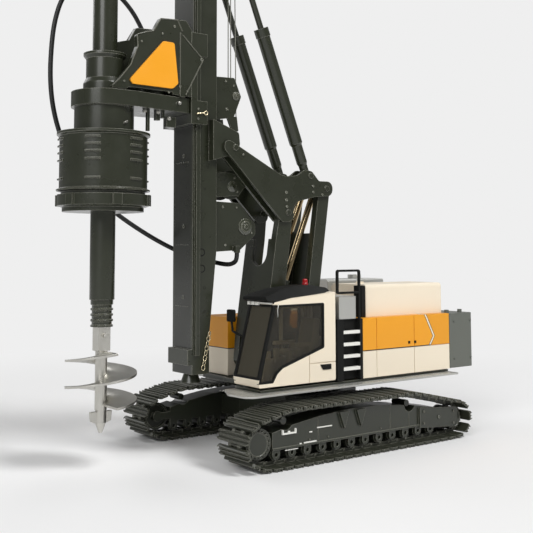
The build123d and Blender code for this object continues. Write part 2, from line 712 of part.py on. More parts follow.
def cab_openings():
    """Cutter for the side windows and the whole front between sill and header."""
    near = plate_xz(SIDE_OPENING, CAB_OUTER_Y - CAB_WALL, CAB_OUTER_Y + 1)
    far = plate_xz(SIDE_OPENING, CAB_INNER_Y - 1, CAB_INNER_Y + CAB_WALL)
    return near + far + front_band(SILL_Z, HEADER_Z, FRONT_WALL + 0.3, 3.0)


def cab_shell():
    """Hollow cab with side windows, an open front and a rear window, and the seams of the door."""
    shell = cab_walls() - cab_openings()
    back = plate_yz(BACK_WINDOW, CAB_REAR - 1, CAB_REAR + CAB_WALL + 1)
    y0, y1 = CAB_OUTER_Y - SEAM_DEPTH, CAB_OUTER_Y + 1
    x, z, half = DOOR_SEAM_X, DOOR_SEAM_Z, SEAM_HALF
    upright = block(x - half, x + half, y0, y1, CAB_BOTTOM - 1, z + 6.0)
    level = block(CAB_REAR - 1, x, y0, y1, z - half, z + half)
    return shell - back - upright - level


def cab_frame():
    """Black surround of the side windows and the windscreen, with the two corner pillars."""
    frame = cab_walls() & cab_openings()
    glazed = offset(outline(SIDE_OPENING), amount=-CAB_SEAL)
    hole = extrude(Pos(0, CAB_INNER_Y - 1, 0) * (Plane.XZ * glazed),
                   amount=CAB_OUTER_Y - CAB_INNER_Y + 2, dir=(0, 1, 0))
    hole -= front_band(CAB_BOTTOM, CAB_TOP, PILLAR, 6.0)
    screen = extrude(Pos(CAB_BROW_X - 4.0, 0, 0) * (Plane.YZ * screen_outline()), amount=20.0, dir=(1, 0, 0))
    return frame - hole - screen


def cab_glass():
    """Panes that fill the window openings, just inside the outer faces."""
    glazed = offset(outline(SIDE_OPENING), amount=-CAB_SEAL - GLASS_FIT)
    panes = []
    for y0 in (CAB_OUTER_Y - CAB_WALL + 0.2, CAB_INNER_Y + CAB_WALL - 0.2 - GLASS_THICK):
        pane = extrude(Pos(0, y0, 0) * (Plane.XZ * glazed), amount=GLASS_THICK, dir=(0, 1, 0))
        panes.append(pane - front_band(CAB_BOTTOM, CAB_TOP, PILLAR + GLASS_FIT, 6.0))
    screen = extrude(Pos(CAB_BROW_X - 4.0, 0, 0) * (Plane.YZ * offset(screen_outline(), amount=-GLASS_FIT)),
                     amount=20.0, dir=(1, 0, 0))
    slab = front_band(SILL_Z, HEADER_Z, GLASS_BACK + GLASS_THICK, -GLASS_BACK)
    panes.append(screen & slab)
    back = Plane.YZ * offset(Plane.XY * outline(BACK_WINDOW), amount=-GLASS_FIT)
    panes.append(extrude(Pos(CAB_REAR + GLASS_BACK, 0, 0) * back, amount=GLASS_THICK, dir=(1, 0, 0)))
    return Compound(panes)


def cab_seat():
    """Seat with its base, and two arm consoles, on the cab floor."""
    middle = (CAB_INNER_Y + CAB_OUTER_Y) / 2
    floor = CAB_BOTTOM + CAB_WALL
    seat = plate_xz([(12.0, floor), (21.0, floor), (21.5, floor + 9.1), (25.0, floor + 10.1, 1.0),
                     (24.5, floor + 12.6, 1.0), (15.5, floor + 12.1, 1.0), (13.0, floor + 25.6, 1.2),
                     (9.6, floor + 25.1, 1.0), (11.0, floor + 10.1)], middle - SEAT_HALF, middle + SEAT_HALF)
    arm_z = floor + 14.1
    arms = [block(16.0, 27.0, middle + s * (SEAT_HALF + 0.5), middle + s * ARM_OUT_Y, arm_z, arm_z + 1.6)
            for s in (-1, 1)]
    posts = [block(16.0, 18.0, middle + s * (SEAT_HALF - 0.1), middle + s * ARM_OUT_Y, floor + 10.3, arm_z)
             for s in (-1, 1)]
    return joined([seat] + arms + posts)


ROOF_SIDE = (
    # x, z, corner radius of the domed guard over the cab, seen from the side
    (CAB_BROW_X + 3.4, 65.0), (CAB_BROW_X + 3.4, 66.4, 0.8), (29.0, ROOF_TOP - 1.4, 30.0),
    (15.0, ROOF_TOP, 30.0), (CAB_REAR + 0.2, ROOF_TOP - 1.6, 1.0), (CAB_REAR + 0.2, 60.0),
    (CAB_BROW_X - 8.0, 60.0),
)


def cab_roof():
    """Domed dark guard on the cab, with a flat seat for the beacon."""
    along_x = plate_xz(ROOF_SIDE, CAB_INNER_Y, CAB_OUTER_Y)
    inner, outer, crown = CAB_INNER_Y, CAB_OUTER_Y, ROOF_TOP + 0.4
    dome = [(inner, 60.0), (inner, ROOF_TOP - 3.0, 1.0), (inner + 3.0, crown, 2.0), (outer - 8.0, crown, 4.0),
            (outer, CAB_TOP - 1.6), (outer, 60.0)]
    across = plate_yz(dome, CAB_REAR - 1, CAB_BROW_X + 6)
    guard = (along_x & across) - plate_xz(CAB_SIDE, CAB_INNER_Y - 1, CAB_OUTER_Y + 1)
    seat = bar_z(*BEACON_AT, BEACON_R + 0.1, BEACON_Z, ROOF_TOP + 2)
    return guard - front_band(CAB_BOTTOM, CAB_BROW_Z, 0, 6.0) - seat


def cab_lamps():
    """White rail across the front of the roof, with a row of square lamps towards the bay."""
    z = CAB_BROW_Z - 0.5
    x = front_x(z)
    rail = block(x, x + 0.6, CAB_INNER_Y + 0.4, CAB_OUTER_Y - 1.0, z - 0.35, z + 0.35)
    lamps = [block(x, x + 1.3, y, y + LAMP_SIDE, z - LAMP_SIDE / 2, z + LAMP_SIDE / 2)
             for y in (CAB_INNER_Y + 0.4 + LAMP_PITCH * k for k in range(LAMP_COUNT))]
    return joined([rail] + lamps) - plate_xz(CAB_SIDE, CAB_INNER_Y, CAB_OUTER_Y) - cab_roof()


def beacon():
    """Round beacon with a base, on the roof."""
    z, r = BEACON_Z, BEACON_R
    return turned(*BEACON_AT, [(0, z), (r, z), (r, z + 1.2), (r - 0.2, z + 1.2), (r - 0.3, z + 3.2, 0.7),
                               (0, z + 3.2)])


def mirror_arm():
    """Mirror on a bent arm at the front corner of the cab."""
    y0, y1 = 8.2, 13.2
    head = plate_yz([(y0, 55.4, 0.8), (y1, 55.4, 0.8), (y1, 60.6, 0.8), (y0, 60.6, 0.8)], 44.6, 45.8)
    elbow = (44.6, 11.0, 51.4)
    foot = (42.0, CAB_INNER_Y - MIRROR_ARM_R, 49.4)
    return joined([head, rod((45.2, 11.0, 56.0), elbow, MIRROR_ARM_R), rod(elbow, foot, MIRROR_ARM_R)])


def ladder():
    """Dark recess beside the cab, between two cheeks."""
    x0, x1 = HOUSING_FRONT + SEAT_GAP, LADDER_FRONT
    back = block(x0, x1, LADDER_BACK_Y - 3.4, LADDER_BACK_Y, HOUSING_BOTTOM, HOUSING_TOP)
    rear, front = LADDER_CHEEKS
    cheeks = [block(start, end, LADDER_BACK_Y - 0.4, SIDE_Y, HOUSING_BOTTOM, HOUSING_TOP)
              for start, end in ((x0, x0 + rear), (x1 - front, x1))]
    return joined([back] + cheeks)


def ladder_rungs():
    """Four rungs between the cheeks."""
    rear, front = LADDER_CHEEKS
    x0, x1 = HOUSING_FRONT + SEAT_GAP + rear, LADDER_FRONT - front
    y0, half = LADDER_BACK_Y + 0.8, RUNG_HALF
    return Compound([block(x0, x1, y0, SIDE_Y, z - half, z + half) for z in RUNG_Z])


def side_housing(side):
    """Machine housing with panel seams, upper band and lower band."""
    inner = BAY_Y + 1.0
    front = HOUSING_FRONT if side > 0 else FAR_HOUSING_FRONT
    body = plate_xz([(front, HOUSING_BOTTOM), (front, HOUSING_TOP, 0.6), (HOUSING_REAR, HOUSING_TOP, 0.6),
                     (HOUSING_REAR, HOUSING_BOTTOM)], inner, SIDE_Y)
    for x in HOUSING_SEAMS[side]:
        body -= block(x - SEAM_HALF, x + SEAM_HALF, SIDE_Y - SEAM_DEPTH, SIDE_Y + 1, HOUSING_BOTTOM - 1,
                      HOUSING_TOP + 1)
    body -= block(HOUSING_REAR - 1, front + 1, SIDE_Y - SEAM_DEPTH, SIDE_Y + 1, BAND_Z - SEAM_HALF,
                  BAND_Z + SEAM_HALF)
    return body if side > 0 else mirror(body, Plane.XZ)


def engine_cover():
    """Low cover over the engine between the two housings."""
    half = BAY_Y + 1.0 - RUN_CLEARANCE
    return plate_yz([(-half, KEEL_TOP), (-half, ENGINE_TOP, 1.0), (half, ENGINE_TOP, 1.0), (half, KEEL_TOP)],
                    HOUSING_REAR, ENGINE_FRONT)


def tank():
    """Cream tank with rounded top edges on the near housing."""
    body = plate_yz([(TANK_INNER_Y, HOUSING_TOP), (TANK_INNER_Y, TANK_TOP, 1.6), (TANK_Y, TANK_TOP, 1.6),
                     (TANK_Y, HOUSING_TOP)], TANK_REAR, TANK_FRONT)
    return body + bar_z(*TANK_CAP_AT, TANK_CAP_R, TANK_TOP, TANK_TOP + 1.0)


def silencer():
    """Silencer box on the far housing."""
    y0, y1 = SILENCER_Y
    return plate_yz([(y0, HOUSING_TOP), (y0, SILENCER_TOP, 1.2), (y1, SILENCER_TOP, 1.2), (y1, HOUSING_TOP)],
                    *SILENCER_X)


def exhaust():
    """Upright exhaust pipe on the silencer, open at its mouth."""
    x, y = EXHAUST_AT
    top = SILENCER_TOP + EXHAUST_HEIGHT
    return bar_z(x, y, EXHAUST_R, SILENCER_TOP, top) - bar_z(x, y, EXHAUST_R - 0.5, top - 4.0, top + 1)


def air_box():
    """Silver box above the ladder."""
    return block(-8.6, 1.4, 20.0, SIDE_Y - 1.2, HOUSING_TOP, HOUSING_TOP + 10.0)


def handrail():
    """Black rail frame beside the ladder on one long rear post, and the broad post before the tank."""
    bar, low = RAIL_BAR, HANDRAIL_TOP - RAIL_DROP
    x0, x1 = RAIL_X
    y, top = SIDE_Y - 1.2, HANDRAIL_TOP
    frame = plate_xz([(x0, low), (x0, top, 1.2), (x1, top, 1.2), (x1, low, 1.2)], y, y + bar)
    frame -= plate_xz([(x0 + bar, low + bar), (x0 + bar, top - bar, 0.4), (x1 - bar, top - bar, 0.4),
                       (x1 - bar, low + bar, 0.4)], y - 1, y + bar + 1)
    frame += block(x0, x0 + bar, y, y + bar, HOUSING_TOP, low + bar)
    x = TANK_FRONT + SEAT_GAP
    post = block(x, x + POST_WIDTH, TANK_Y - POST_DEPTH, TANK_Y, HOUSING_TOP, TANK_TOP - 0.5)
    return Compound([frame, post])


def counterweight():
    """Cast tail weight with rounded rear corners, a centre notch and four lifting lugs."""
    front = HOUSING_REAR - SEAT_GAP
    body = plate_xy([(front, -SIDE_Y), (front, SIDE_Y), (TAIL_X, SIDE_Y, 2.5), (TAIL_X, -SIDE_Y, 2.5)],
                    WEIGHT_BOTTOM, WEIGHT_TOP)
    low, high = WEIGHT_BOTTOM - 1, WEIGHT_TOP + 1
    body -= block(TAIL_X - 1, TAIL_X + NOTCH_DEPTH, -NOTCH_HALF, NOTCH_HALF, low, high)
    lugs = [bar_z(x, y, LIFT_LUG_R, WEIGHT_TOP - 1, WEIGHT_TOP + 1.6)
            for x in (TAIL_X + 5.4, front - 2.6) for y in (-LIFT_LUG_Y, LIFT_LUG_Y)]
    return joined([body] + lugs)


def bore(centre, radius):
    """A long round cutter across the whole linkage."""
    return bar_y(centre[0], centre[1], radius, -20, 20)


def hose_radii(points):
    """Radius of the arc at each inner point of a route, as large as its two runs allow."""
    radii = []
    for a, b, c in zip(points, points[1:], points[2:]):
        back, ahead = Vector(*a) - Vector(*b), Vector(*c) - Vector(*b)
        half_turn = radians(180 - back.get_angle(ahead)) / 2
        radii.append(0.45 * min(back.length, ahead.length) * cos(half_turn) / sin(half_turn))
    return radii


def hose(points, radius):
    """A plain tube along straight runs joined by tangent arcs."""
    radii = hose_radii(points)
    print("smallest hose bend", round(min(radii), 2))
    path = FilletPolyline(*points, radius=radii)
    start = Plane(origin=points[0], z_dir=Vector(*points[1]) - Vector(*points[0]))
    tube = sweep(start * Circle(radius), path=path)
    print("hose length", round(path.length, 1), "volume", round(tube.volume, 1),
          "section times length", round(pi * radius ** 2 * path.length, 1))
    return tube


def front_link():
    """Wide lower box with a round-bottomed slot, and two fork arms up to the rocker."""
    length = hypot(FRONT_HEAD[0] - FRONT_FOOT[0], FRONT_HEAD[1] - FRONT_FOOT[1])

    def at(distance, aside):
        return along(FRONT_FOOT, FRONT_HEAD, distance, aside)
    d = LINK_DEPTH
    side_plate = [(*at(10, d), 3.0), at(length - 12, d), (*at(length + 3.4, 3.2), 3.0),
                  (*at(length + 3.4, -3.2), 3.0), at(length - 12, -d), (*at(10, -d), 3.0),
                  (*at(-3.6, -3.2), 3.0), (*at(-3.6, 3.2), 3.0)]
    arms = both_sides(plate_xz(side_plate, LINK_IN, LINK_OUT))
    web = plate_xz([at(WEB_LOW, d - WEB_THICK), at(WEB_LOW, d), at(WEB_HIGH, d), at(WEB_HIGH, d - WEB_THICK)],
                   -LINK_IN - 0.5, LINK_IN + 0.5)
    x, z = at(SLOT_CENTRE, 0)
    slot = Plane(origin=(x, 0, z), x_dir=(0, 1, 0), z_dir=(1, 0, 0)) * extrude(
        Circle(SLOT_R), amount=12, both=True)
    slot_up = block(x - 14, x + 12, -SLOT_R, SLOT_R, z, z + 30)
    body = arms + (web - slot - slot_up)
    for point in (FRONT_FOOT, FRONT_HEAD):
        body -= bore(point, PIN_R + RUN_FIT)
    return body


def rear_link():
    """Two side bars with a cross web."""
    length = hypot(REAR_HEAD[0] - REAR_FOOT[0], REAR_HEAD[1] - REAR_FOOT[1])

    def at(distance, aside):
        return along(REAR_FOOT, REAR_HEAD, distance, aside)
    d, end = REAR_DEPTH, 3.4
    ends = ((-end, d), (length + end, d), (length + end, -d), (-end, -d))
    bar = [(*at(distance, aside), 3.0) for distance, aside in ends]
    arms = both_sides(plate_xz(bar, LINK_IN, LINK_OUT))
    web = plate_xz([at(REAR_WEB[0], -d), at(REAR_WEB[0], -d + WEB_THICK), at(REAR_WEB[1], -d + WEB_THICK),
                    at(REAR_WEB[1], -d)], -LINK_IN - 0.5, LINK_IN + 0.5)
    body = arms + web
    for point in (REAR_FOOT, REAR_HEAD):
        body -= bore(point, PIN_R + RUN_FIT)
    return body


ROCKER_SIDE = (
    # x, z, corner radius of the side plates, round from the tip at the leader pin
    (49.6, 134.3, 2.4), (18.0, 118.8, 12.0), (10.0, 119.8, 5.0), (5.8, 122.7, 2.2), (1.4, 122.1, 2.2),
    (-2.8, 117.8, 2.0), (-11.2, 117.9, 3.2), (-11.0, 111.2, 3.2), (-1.0, 110.5, 8.0), (12.8, 107.3, 5.0),
    (12.2, 98.9, 3.0), (18.7, 98.4, 3.0), (50.4, 129.4, 2.4),
)


def rocker():
    """Four boomerang plates in two pairs, with the pins that the links and cylinders turn on."""
    plates = []
    for y0, y1 in ((ROCKER_GAP_OUT, ROCKER_OUT), (ROCKER_IN, ROCKER_GAP_IN)):
        plates += [plate_xz(ROCKER_SIDE, y0, y1), plate_xz(ROCKER_SIDE, -y1, -y0)]
    end = ROCKER_OUT + PIN_HEAD
    pins = [bar_y(*point, PIN_R, -end, end) for point in (FRONT_HEAD, REAR_HEAD)]
    for point in (STAY_FOOT, LEADER_PIN):
        pins += [bar_y(*point, PIN_R, ROCKER_IN, end), bar_y(*point, PIN_R, -end, -ROCKER_IN)]
    x, z = ROCKER_TIE
    tie = bar_y(x, z, 2.0, -ROCKER_IN - 0.5, ROCKER_IN + 0.5)
    spacer = block(x - 1.0, x + 8.0, ROCKER_GAP_IN - 0.2, ROCKER_GAP_OUT + 0.2, z - 1.5, z + 2.5)
    return joined(plates + pins + [tie, spacer, mirror(spacer, Plane.XZ)])


def cylinder_barrel(foot, head, y, steps, eye_r, bore_r, half, rod_r):
    """Barrel with its eye at foot, turned from steps of distance and radius, and bored for the rod."""
    def point(distance):
        x, z = along(foot, head, distance)
        return (x, y, z)
    length, radius = steps[-1]
    steps = ((eye_r * 0.7, steps[0][1]),) + steps[:-1] + (
        (length - COLLAR_LENGTH, radius), (length - COLLAR_LENGTH, radius + COLLAR_STEP),
        (length, radius + COLLAR_STEP))
    profile = [(0, steps[0][0])] + [(r, distance) for distance, r in steps] + [(0, length)]
    axis = Vector(point(length)) - Vector(point(0))
    barrel = Plane(origin=point(0), z_dir=axis) * turned(0, 0, profile)
    barrel += bar_y(foot[0], foot[1], eye_r, y - half, y + half)
    barrel -= rod(point(eye_r + 3.0), point(length + 1), rod_r + RUN_FIT)
    return barrel - bar_y(foot[0], foot[1], bore_r, y - half - 3, y + half + 3)


def cylinder_rod(foot, head, y, inside, radius, eye_r, bore_r, half):
    """Rod with its eye at head, reaching a named distance from foot into the barrel."""
    start = along(foot, head, inside)
    length = hypot(head[0] - foot[0], head[1] - foot[1])
    end = along(foot, head, length - eye_r * 0.7)
    piece = rod((start[0], y, start[1]), (end[0], y, end[1]), radius)
    piece += bar_y(head[0], head[1], eye_r, y - half, y + half)
    return piece - bar_y(head[0], head[1], bore_r, y - half - 3, y + half + 3)


def leader():
    """Hollow box mast with front guide rails, rocker lugs, stay lugs and winch brackets."""
    low_rear = LEADER_REAR + LEADER_TAPER
    box = plate_xz([(LEADER_FRONT, LEADER_BOTTOM), (LEADER_FRONT, LEADER_TOP), (LEADER_REAR, LEADER_TOP),
                    (LEADER_REAR, LEADER_TAPER_TOP), (low_rear, LEADER_TAPER_LOW),
                    (low_rear, LEADER_BOTTOM)], -LEADER_HALF, LEADER_HALF)
    w = LEADER_WALL
    room = plate_xz([(LEADER_FRONT - w, LEADER_BOTTOM + w), (LEADER_FRONT - w, LEADER_TOP + 1),
                     (LEADER_REAR + w, LEADER_TOP + 1), (LEADER_REAR + w, LEADER_TAPER_TOP),
                     (low_rear + w, LEADER_TAPER_LOW), (low_rear + w, LEADER_BOTTOM + w)],
                    -LEADER_HALF + w, LEADER_HALF - w)
    body = box - room
    rail_x = LEADER_FRONT - RAIL_INSET
    rails = both_sides(block(rail_x - RAIL_DEPTH, rail_x, LEADER_HALF - 0.2, RAIL_OUT, RAIL_LOW, RAIL_TOP))
    px, pz = LEADER_PIN
    in_y, out_y = ROCKER_GAP_IN + ROCKER_PLAY, ROCKER_GAP_OUT - ROCKER_PLAY
    ear = plate_xz([(px - 3.4, pz + 1.8, 1.6), (px - 2.9, pz + 6.8, 1.5), (LEADER_REAR + 4, pz + 11.6),
                    (LEADER_REAR + 4, pz - 6.0), (px, pz - 2.9, 2.8), (px - 2.9, pz, 2.0)],
                   LEADER_HALF - 0.2, out_y)
    ear += bar_y(px, pz, 2.9, in_y, out_y)
    ear -= block(px - 6, LEADER_REAR - 0.6, LEADER_HALF - 1, in_y, pz - 9, pz + 14)
    ear -= bar_y(px, pz, PIN_R + RUN_FIT, 0, 20)
    lugs = [ear, mirror(ear, Plane.XZ)]
    sx, sz = STAY_HEAD
    root = LEADER_REAR + 2
    shape = [(sx - 2.8, sz - 1.6, 2.0), (sx + 1.0, sz - 4.0, 1.0), (root, sz - PAD_HALF),
             (root, sz + PAD_HALF), (sx - 2.4, sz + 2.8, 2.0)]
    for y0, y1 in STAY_EARS:
        ear = plate_xz(shape, y0, y1)
        lugs += [ear, mirror(ear, Plane.XZ)]
    pad_y = STAY_EARS[1][1]
    pad = block(LEADER_REAR - 1.6, LEADER_REAR + 2, -pad_y, pad_y, sz - PAD_HALF, sz + PAD_HALF)
    stay_pin = both_sides(bar_y(sx, sz, PIN_R - 0.3, STAY_EARS[0][0], pad_y + 0.4))
    brackets = []
    for outline_points in WINCH_PLATES:
        for y0, y1 in ((WINCH_HALF, WINCH_PLATE_Y), (-WINCH_PLATE_Y, -WINCH_HALF)):
            brackets.append(plate_xz(outline_points, y0, y1))
    foot = Pos(low_rear + FOOT_R - 0.1, 0, LEADER_BOTTOM - FOOT_LENGTH) * Cone(
        FOOT_R, FOOT_TOP_R, FOOT_LENGTH + 0.2, align=(Align.CENTER, Align.CENTER, Align.MIN))
    gx, gy, gz = HOSE_GLAND
    gland = bar_z(gx, gy, HOSE_R + 0.4, gz, gz + 3.0)
    gland += block(gx - 1.2, gx + 1.2, WINCH_HALF + 0.6, gy, gz + 0.6, gz + 2.6)
    stop = block(LEADER_FRONT - 0.2, LEADER_FRONT + 2.2, -LEADER_HALF, LEADER_HALF, *STOP_Z)
    return joined([body, rails, pad, stay_pin, foot, stop, gland] + lugs + brackets)


WINCHES = (
    # name, x, z, drum radius, flange radius
    ("winch_upper", 44.4, 152.4, 3.6, 6.0),
    ("winch_middle", 41.4, 114.6, 3.8, 6.4),
    ("winch_lower", 42.8, 95.6, 4.2, 7.0),
)
WINCH_PLATES = (
    # x, z, corner radius of the side plates behind the leader, from the top down
    ((52.0, 161.6), (40.2, 162.2, 1.0), (36.6, 154.0, 1.0), (40.6, 144.3, 1.0), (52.0, 142.5)),
    ((44.2, 144.4), (38.9, 145.0), (38.0, 138.5, 0.4), (41.4, 138.2, 0.4)),
    ((52.0, 118.6), (45.6, 119.9, 1.5), (36.4, 119.0, 2.0), (32.8, 115.4, 2.0), (38.2, 110.0, 2.0),
     (52.0, 108.6)),
    ((52.0, 107.1), (37.6, 106.6, 1.0), (29.0, 97.4, 1.5), (28.8, 92.8, 1.5), (37.1, 86.0, 1.0),
     (52.0, 85.1)),
)


def winch(x, z, drum_r, flange_r):
    """Rope drum with two flanges between its side plates."""
    half = WINCH_HALF - 0.3
    return (bar_y(x, z, drum_r, -half, half) + bar_y(x, z, flange_r, half - 0.8, half)
            + bar_y(x, z, flange_r, -half, -half + 0.8))


def leader_head():
    """Head with two side cheeks that reach over the Kelly axis and to the rear."""
    top, root = TOTAL_HEIGHT, LEADER_TOP - HEAD_LAP
    cheek = [(LEADER_REAR - 11.0, top - 24.0), (LEADER_REAR, root), (LEADER_FRONT, root),
             (KELLY_X - 2.0, top - 22.0, 2.0), (KELLY_X + 0.5, top - 6.0, 4.0), (KELLY_X - 14.0, top, 3.0),
             (LEADER_REAR - 8.0, top, 3.0), (LEADER_REAR - 14.0, top - 8.0, 4.0)]
    inner = LEADER_HALF + 0.05
    outer = inner + HEAD_WALL
    cheeks = [plate_xz(cheek, inner, outer), plate_xz(cheek, -outer, -inner)]
    tie_y = inner + 0.2
    ties = [block(LEADER_REAR, LEADER_FRONT, -tie_y, tie_y, LEADER_TOP + SEAT_GAP, LEADER_TOP + 4.0),
            block(LEADER_FRONT + 6.0, LEADER_FRONT + 12.0, -tie_y, tie_y, top - 5.0, top - 2.0)]
    pins = [bar_y(x, z, PIN_R, -inner - 0.5, inner + 0.5) for x, z in SHEAVES]
    return joined(cheeks + ties + pins)


SHEAVES = (
    # x, z of the two sheave axes in the head
    (KELLY_X - SHEAVE_R + 1.0, TOTAL_HEIGHT - 10.0),
    (LEADER_REAR - 4.0, TOTAL_HEIGHT - 10.5),
)


def sheave(x, z):
    """Grooved rope wheel on the head pin."""
    r, h = SHEAVE_R, SHEAVE_HALF
    face = outline([(PIN_R + RUN_FIT, -h), (r, -h), (r - 1.0, 0), (r, h), (PIN_R + RUN_FIT, h)])
    return Pos(x, 0, z) * revolve(Plane.XY * face, Axis.Y)


SHIELD = (
    # x, z, corner radius of the two side shields
    (SLEDGE_X + 2.5, SHIELD_LOW), (SLEDGE_X + 2.5, 178.0), (69.0, 182.4, 1.5), (81.6, 181.6, 1.5),
    (84.8, 175.8, 0.8), (88.4, 174.8, 0.8), (92.6, 173.4, 1.6), (92.2, 168.4, 1.0), (95.2, 160.5),
    (99.8, 154.6, 0.6), (103.4, 151.2, 0.4), (103.2, SHIELD_LOW), (97.0, SHIELD_LOW),
    (96.0, SHIELD_LOW + 1.0), (75.6, SHIELD_LOW + 1.0), (75.2, SHIELD_LOW),
)
RAIL_COVER = (
    # x, z, corner radius of the pointed plates over the guide rails
    (72.0, 177.0), (60.2, 166.7, 1.0), (69.6, 149.7), (72.0, 149.7),
)
PANEL = (
    # x, z, corner radius of the coloured panels
    (75.2, 171.9, 1.0), (80.4, 172.0, 1.4), (96.0, 154.2, 1.2), (94.4, 152.6, 0.8), (75.8, 152.6, 1.6),
    (73.2, 155.0, 1.0),
)


def sledge():
    """Carriage that grips the leader rails, with two side shields and a gearbox shelf."""
    gap = SLEDGE_GAP
    grip_y = RAIL_OUT + GRIP
    low, high = SLEDGE_Z
    back = block(SLEDGE_X, SLEDGE_X + 3.0, -grip_y, grip_y, low, high)
    rail_back = LEADER_FRONT - RAIL_INSET - RAIL_DEPTH - gap
    grips = []
    for z0, z1 in ((low, low + GRIP_HEIGHT), (high - GRIP_HEIGHT, high)):
        cheek = block(rail_back - 1.6, SLEDGE_X + 0.5, RAIL_OUT + gap, grip_y, z0, z1)
        hook = block(rail_back - 1.6, rail_back, LEADER_HALF + gap, grip_y, z0, z1)
        grips += [both_sides(cheek + hook)]
    shields = both_sides(plate_xz(SHIELD, SHIELD_IN, SHIELD_OUT))
    covers = both_sides(plate_xz(RAIL_COVER, RAIL_OUT + gap, SHIELD_OUT + 0.4) - block(
        50.0, SLEDGE_X + 1.0, 0, RAIL_OUT + gap, low, high))
    cross = block(SLEDGE_X + 2.0, 80.0, -SHIELD_IN - 0.5, SHIELD_IN + 0.5, 172.0, 176.0)
    shelf = block(SLEDGE_X + 2.0, 75.2, -SHIELD_OUT, SHIELD_OUT, SHIELD_LOW, SHIELD_LOW + 1.7)
    x, _, z = HOSE_ROUTE[0]
    fitting = bar_y(x, z, HOSE_R + 0.5, -HOSE_FITTING_Y, -SHIELD_OUT + 0.4)
    return joined([back] + grips + [shields, covers, cross, shelf, fitting])


def sledge_panel(side):
    """Coloured three-cornered panel on the shield."""
    y0, y1 = sorted((side * SHIELD_OUT, side * (SHIELD_OUT + 0.8)))
    return plate_xz(PANEL, y0, y1)


def gearbox():
    """Flat gear housing round the Kelly axis, with its neck and two upright motors."""
    back, r = SLEDGE_X + 3.35, GEAR_R
    housing = plate_xy([(back, -GEAR_REAR_Y), (back, GEAR_REAR_Y), (KELLY_X - 8.0, r),
                        (KELLY_X + r, r, r - 0.1), (KELLY_X + r, -r, r - 0.1), (KELLY_X - 8.0, -r)],
                       GEAR_LOW, GEAR_TOP)
    neck = bar_z(KELLY_X, 0, NECK_R, NECK_LOW, GEAR_LOW + 0.1)
    foot, body_top, top = GEAR_TOP - 0.1, GEAR_TOP + MOTOR_HEIGHT * 0.56, GEAR_TOP + MOTOR_HEIGHT
    profile = [(0, foot), (MOTOR_R, foot), (MOTOR_R, body_top), (MOTOR_R - 0.8, body_top + 0.6),
               (MOTOR_R - 0.8, top, 0.8), (0, top)]
    motors = [turned(MOTOR_X, side * MOTOR_Y, profile) for side in (-1, 1)]
    body = joined([housing, neck] + motors)
    return body - bar_z(KELLY_X, 0, COLLAR_R + 0.6, NECK_LOW - 5, GEAR_TOP + 5)


def drive_sleeve():
    """Turning sleeve through the gearbox with the flanged collar on top and the casing driver below."""
    bore_r = KELLY_R + KELLY_FIT
    core = turned(KELLY_X, 0, [
        (bore_r, LIP_LOW), (bore_r, COLLAR_TOP), (COLLAR_FLANGE_R, COLLAR_TOP),
        (COLLAR_FLANGE_R, COLLAR_TOP - 1.0), (COLLAR_R, COLLAR_TOP - 2.4), (COLLAR_R, COLLAR_LOW + 5.4),
        (COLLAR_R + 1.0, COLLAR_LOW + 3.6), (COLLAR_FLANGE_R, COLLAR_LOW + 3.2),
        (COLLAR_FLANGE_R, COLLAR_LOW), (COLLAR_R + 0.3, COLLAR_LOW),
        (COLLAR_R + 0.3, DRUM_TOP - 1.6), (DRUM_R - 2, DRUM_TOP - 1.6),
        (DRUM_R - 1.4, DRUM_TOP), (DRUM_RIM_R, DRUM_TOP), (DRUM_RIM_R, DRUM_TOP - 1.0),
        (DRUM_R, DRUM_TOP - 1.6), (DRUM_R, DRUM_LOW + 1.0), (DRUM_RIM_R, DRUM_LOW + 0.6),
        (DRUM_RIM_R, DRUM_LOW), (GROOVE_R, DRUM_LOW - 0.4), (GROOVE_R, RING_TOP),
        (RING_R, RING_TOP), (RING_R, RING_LOW), (LIP_R, RING_LOW - 0.6), (LIP_R, LIP_LOW)])
    bands = [turned(KELLY_X, 0, [(DRUM_R - 0.3, z - 0.5), (DRUM_RIB_R, z - 0.4), (DRUM_RIB_R, z + 0.2),
                                 (DRUM_R - 0.3, z + 0.5)]) for z in DRUM_RIB_Z]
    half = DRUM_R * sin(radians(DRUM_RIB_HALF))
    columns = joined(Pos(KELLY_X, 0, 0) * Rot(0, 0, DRUM_RIB_FIRST + 60 * k)
                     * block(GROOVE_R, LUG_R + 1, -half, half, DRUM_LOW, DRUM_TOP) for k in range(6))
    ribs = [band & columns for band in bands]
    lug = block(RING_R - 1, LUG_R, -LUG_HALF, LUG_HALF, RING_LOW, RING_TOP)
    lugs = [Pos(KELLY_X, 0, 0) * Rot(0, 0, 60 * k + 20) * lug for k in range(6)]
    return joined([core] + ribs + lugs)


def kelly_bar():
    """Long round drill bar with drive ribs and a rope eye on top."""
    bar = bar_z(KELLY_X, 0, KELLY_R, KELLY_LOW, KELLY_TOP)
    cap = turned(KELLY_X, 0, [(0, KELLY_TOP - 0.5), (KELLY_R, KELLY_TOP - 0.5), (3.0, KELLY_TOP + 4.0),
                              (2.2, KELLY_TOP + 9.0), (0, KELLY_TOP + 9.0)])
    hole = bar_y(KELLY_X, KELLY_TOP + 6.4, SOCKET_PIN_R, -5, 5)
    return (bar + cap) - hole


def kelly_stub():
    """Ribbed stub below the bar, turned in one piece."""
    profile = [(0, STUB_LOW), (STUB_R, STUB_LOW)]
    for k in range(STUB_RIBS):
        z = STUB_LOW + 0.6 + STUB_RIB_PITCH * k
        profile += [(STUB_R, z), (STUB_R - 0.5, z + 0.3), (STUB_R - 0.5, z + 1.3), (STUB_R, z + 1.6)]
    profile += [(STUB_R, KELLY_LOW), (0, KELLY_LOW)]
    return turned(KELLY_X, 0, profile)


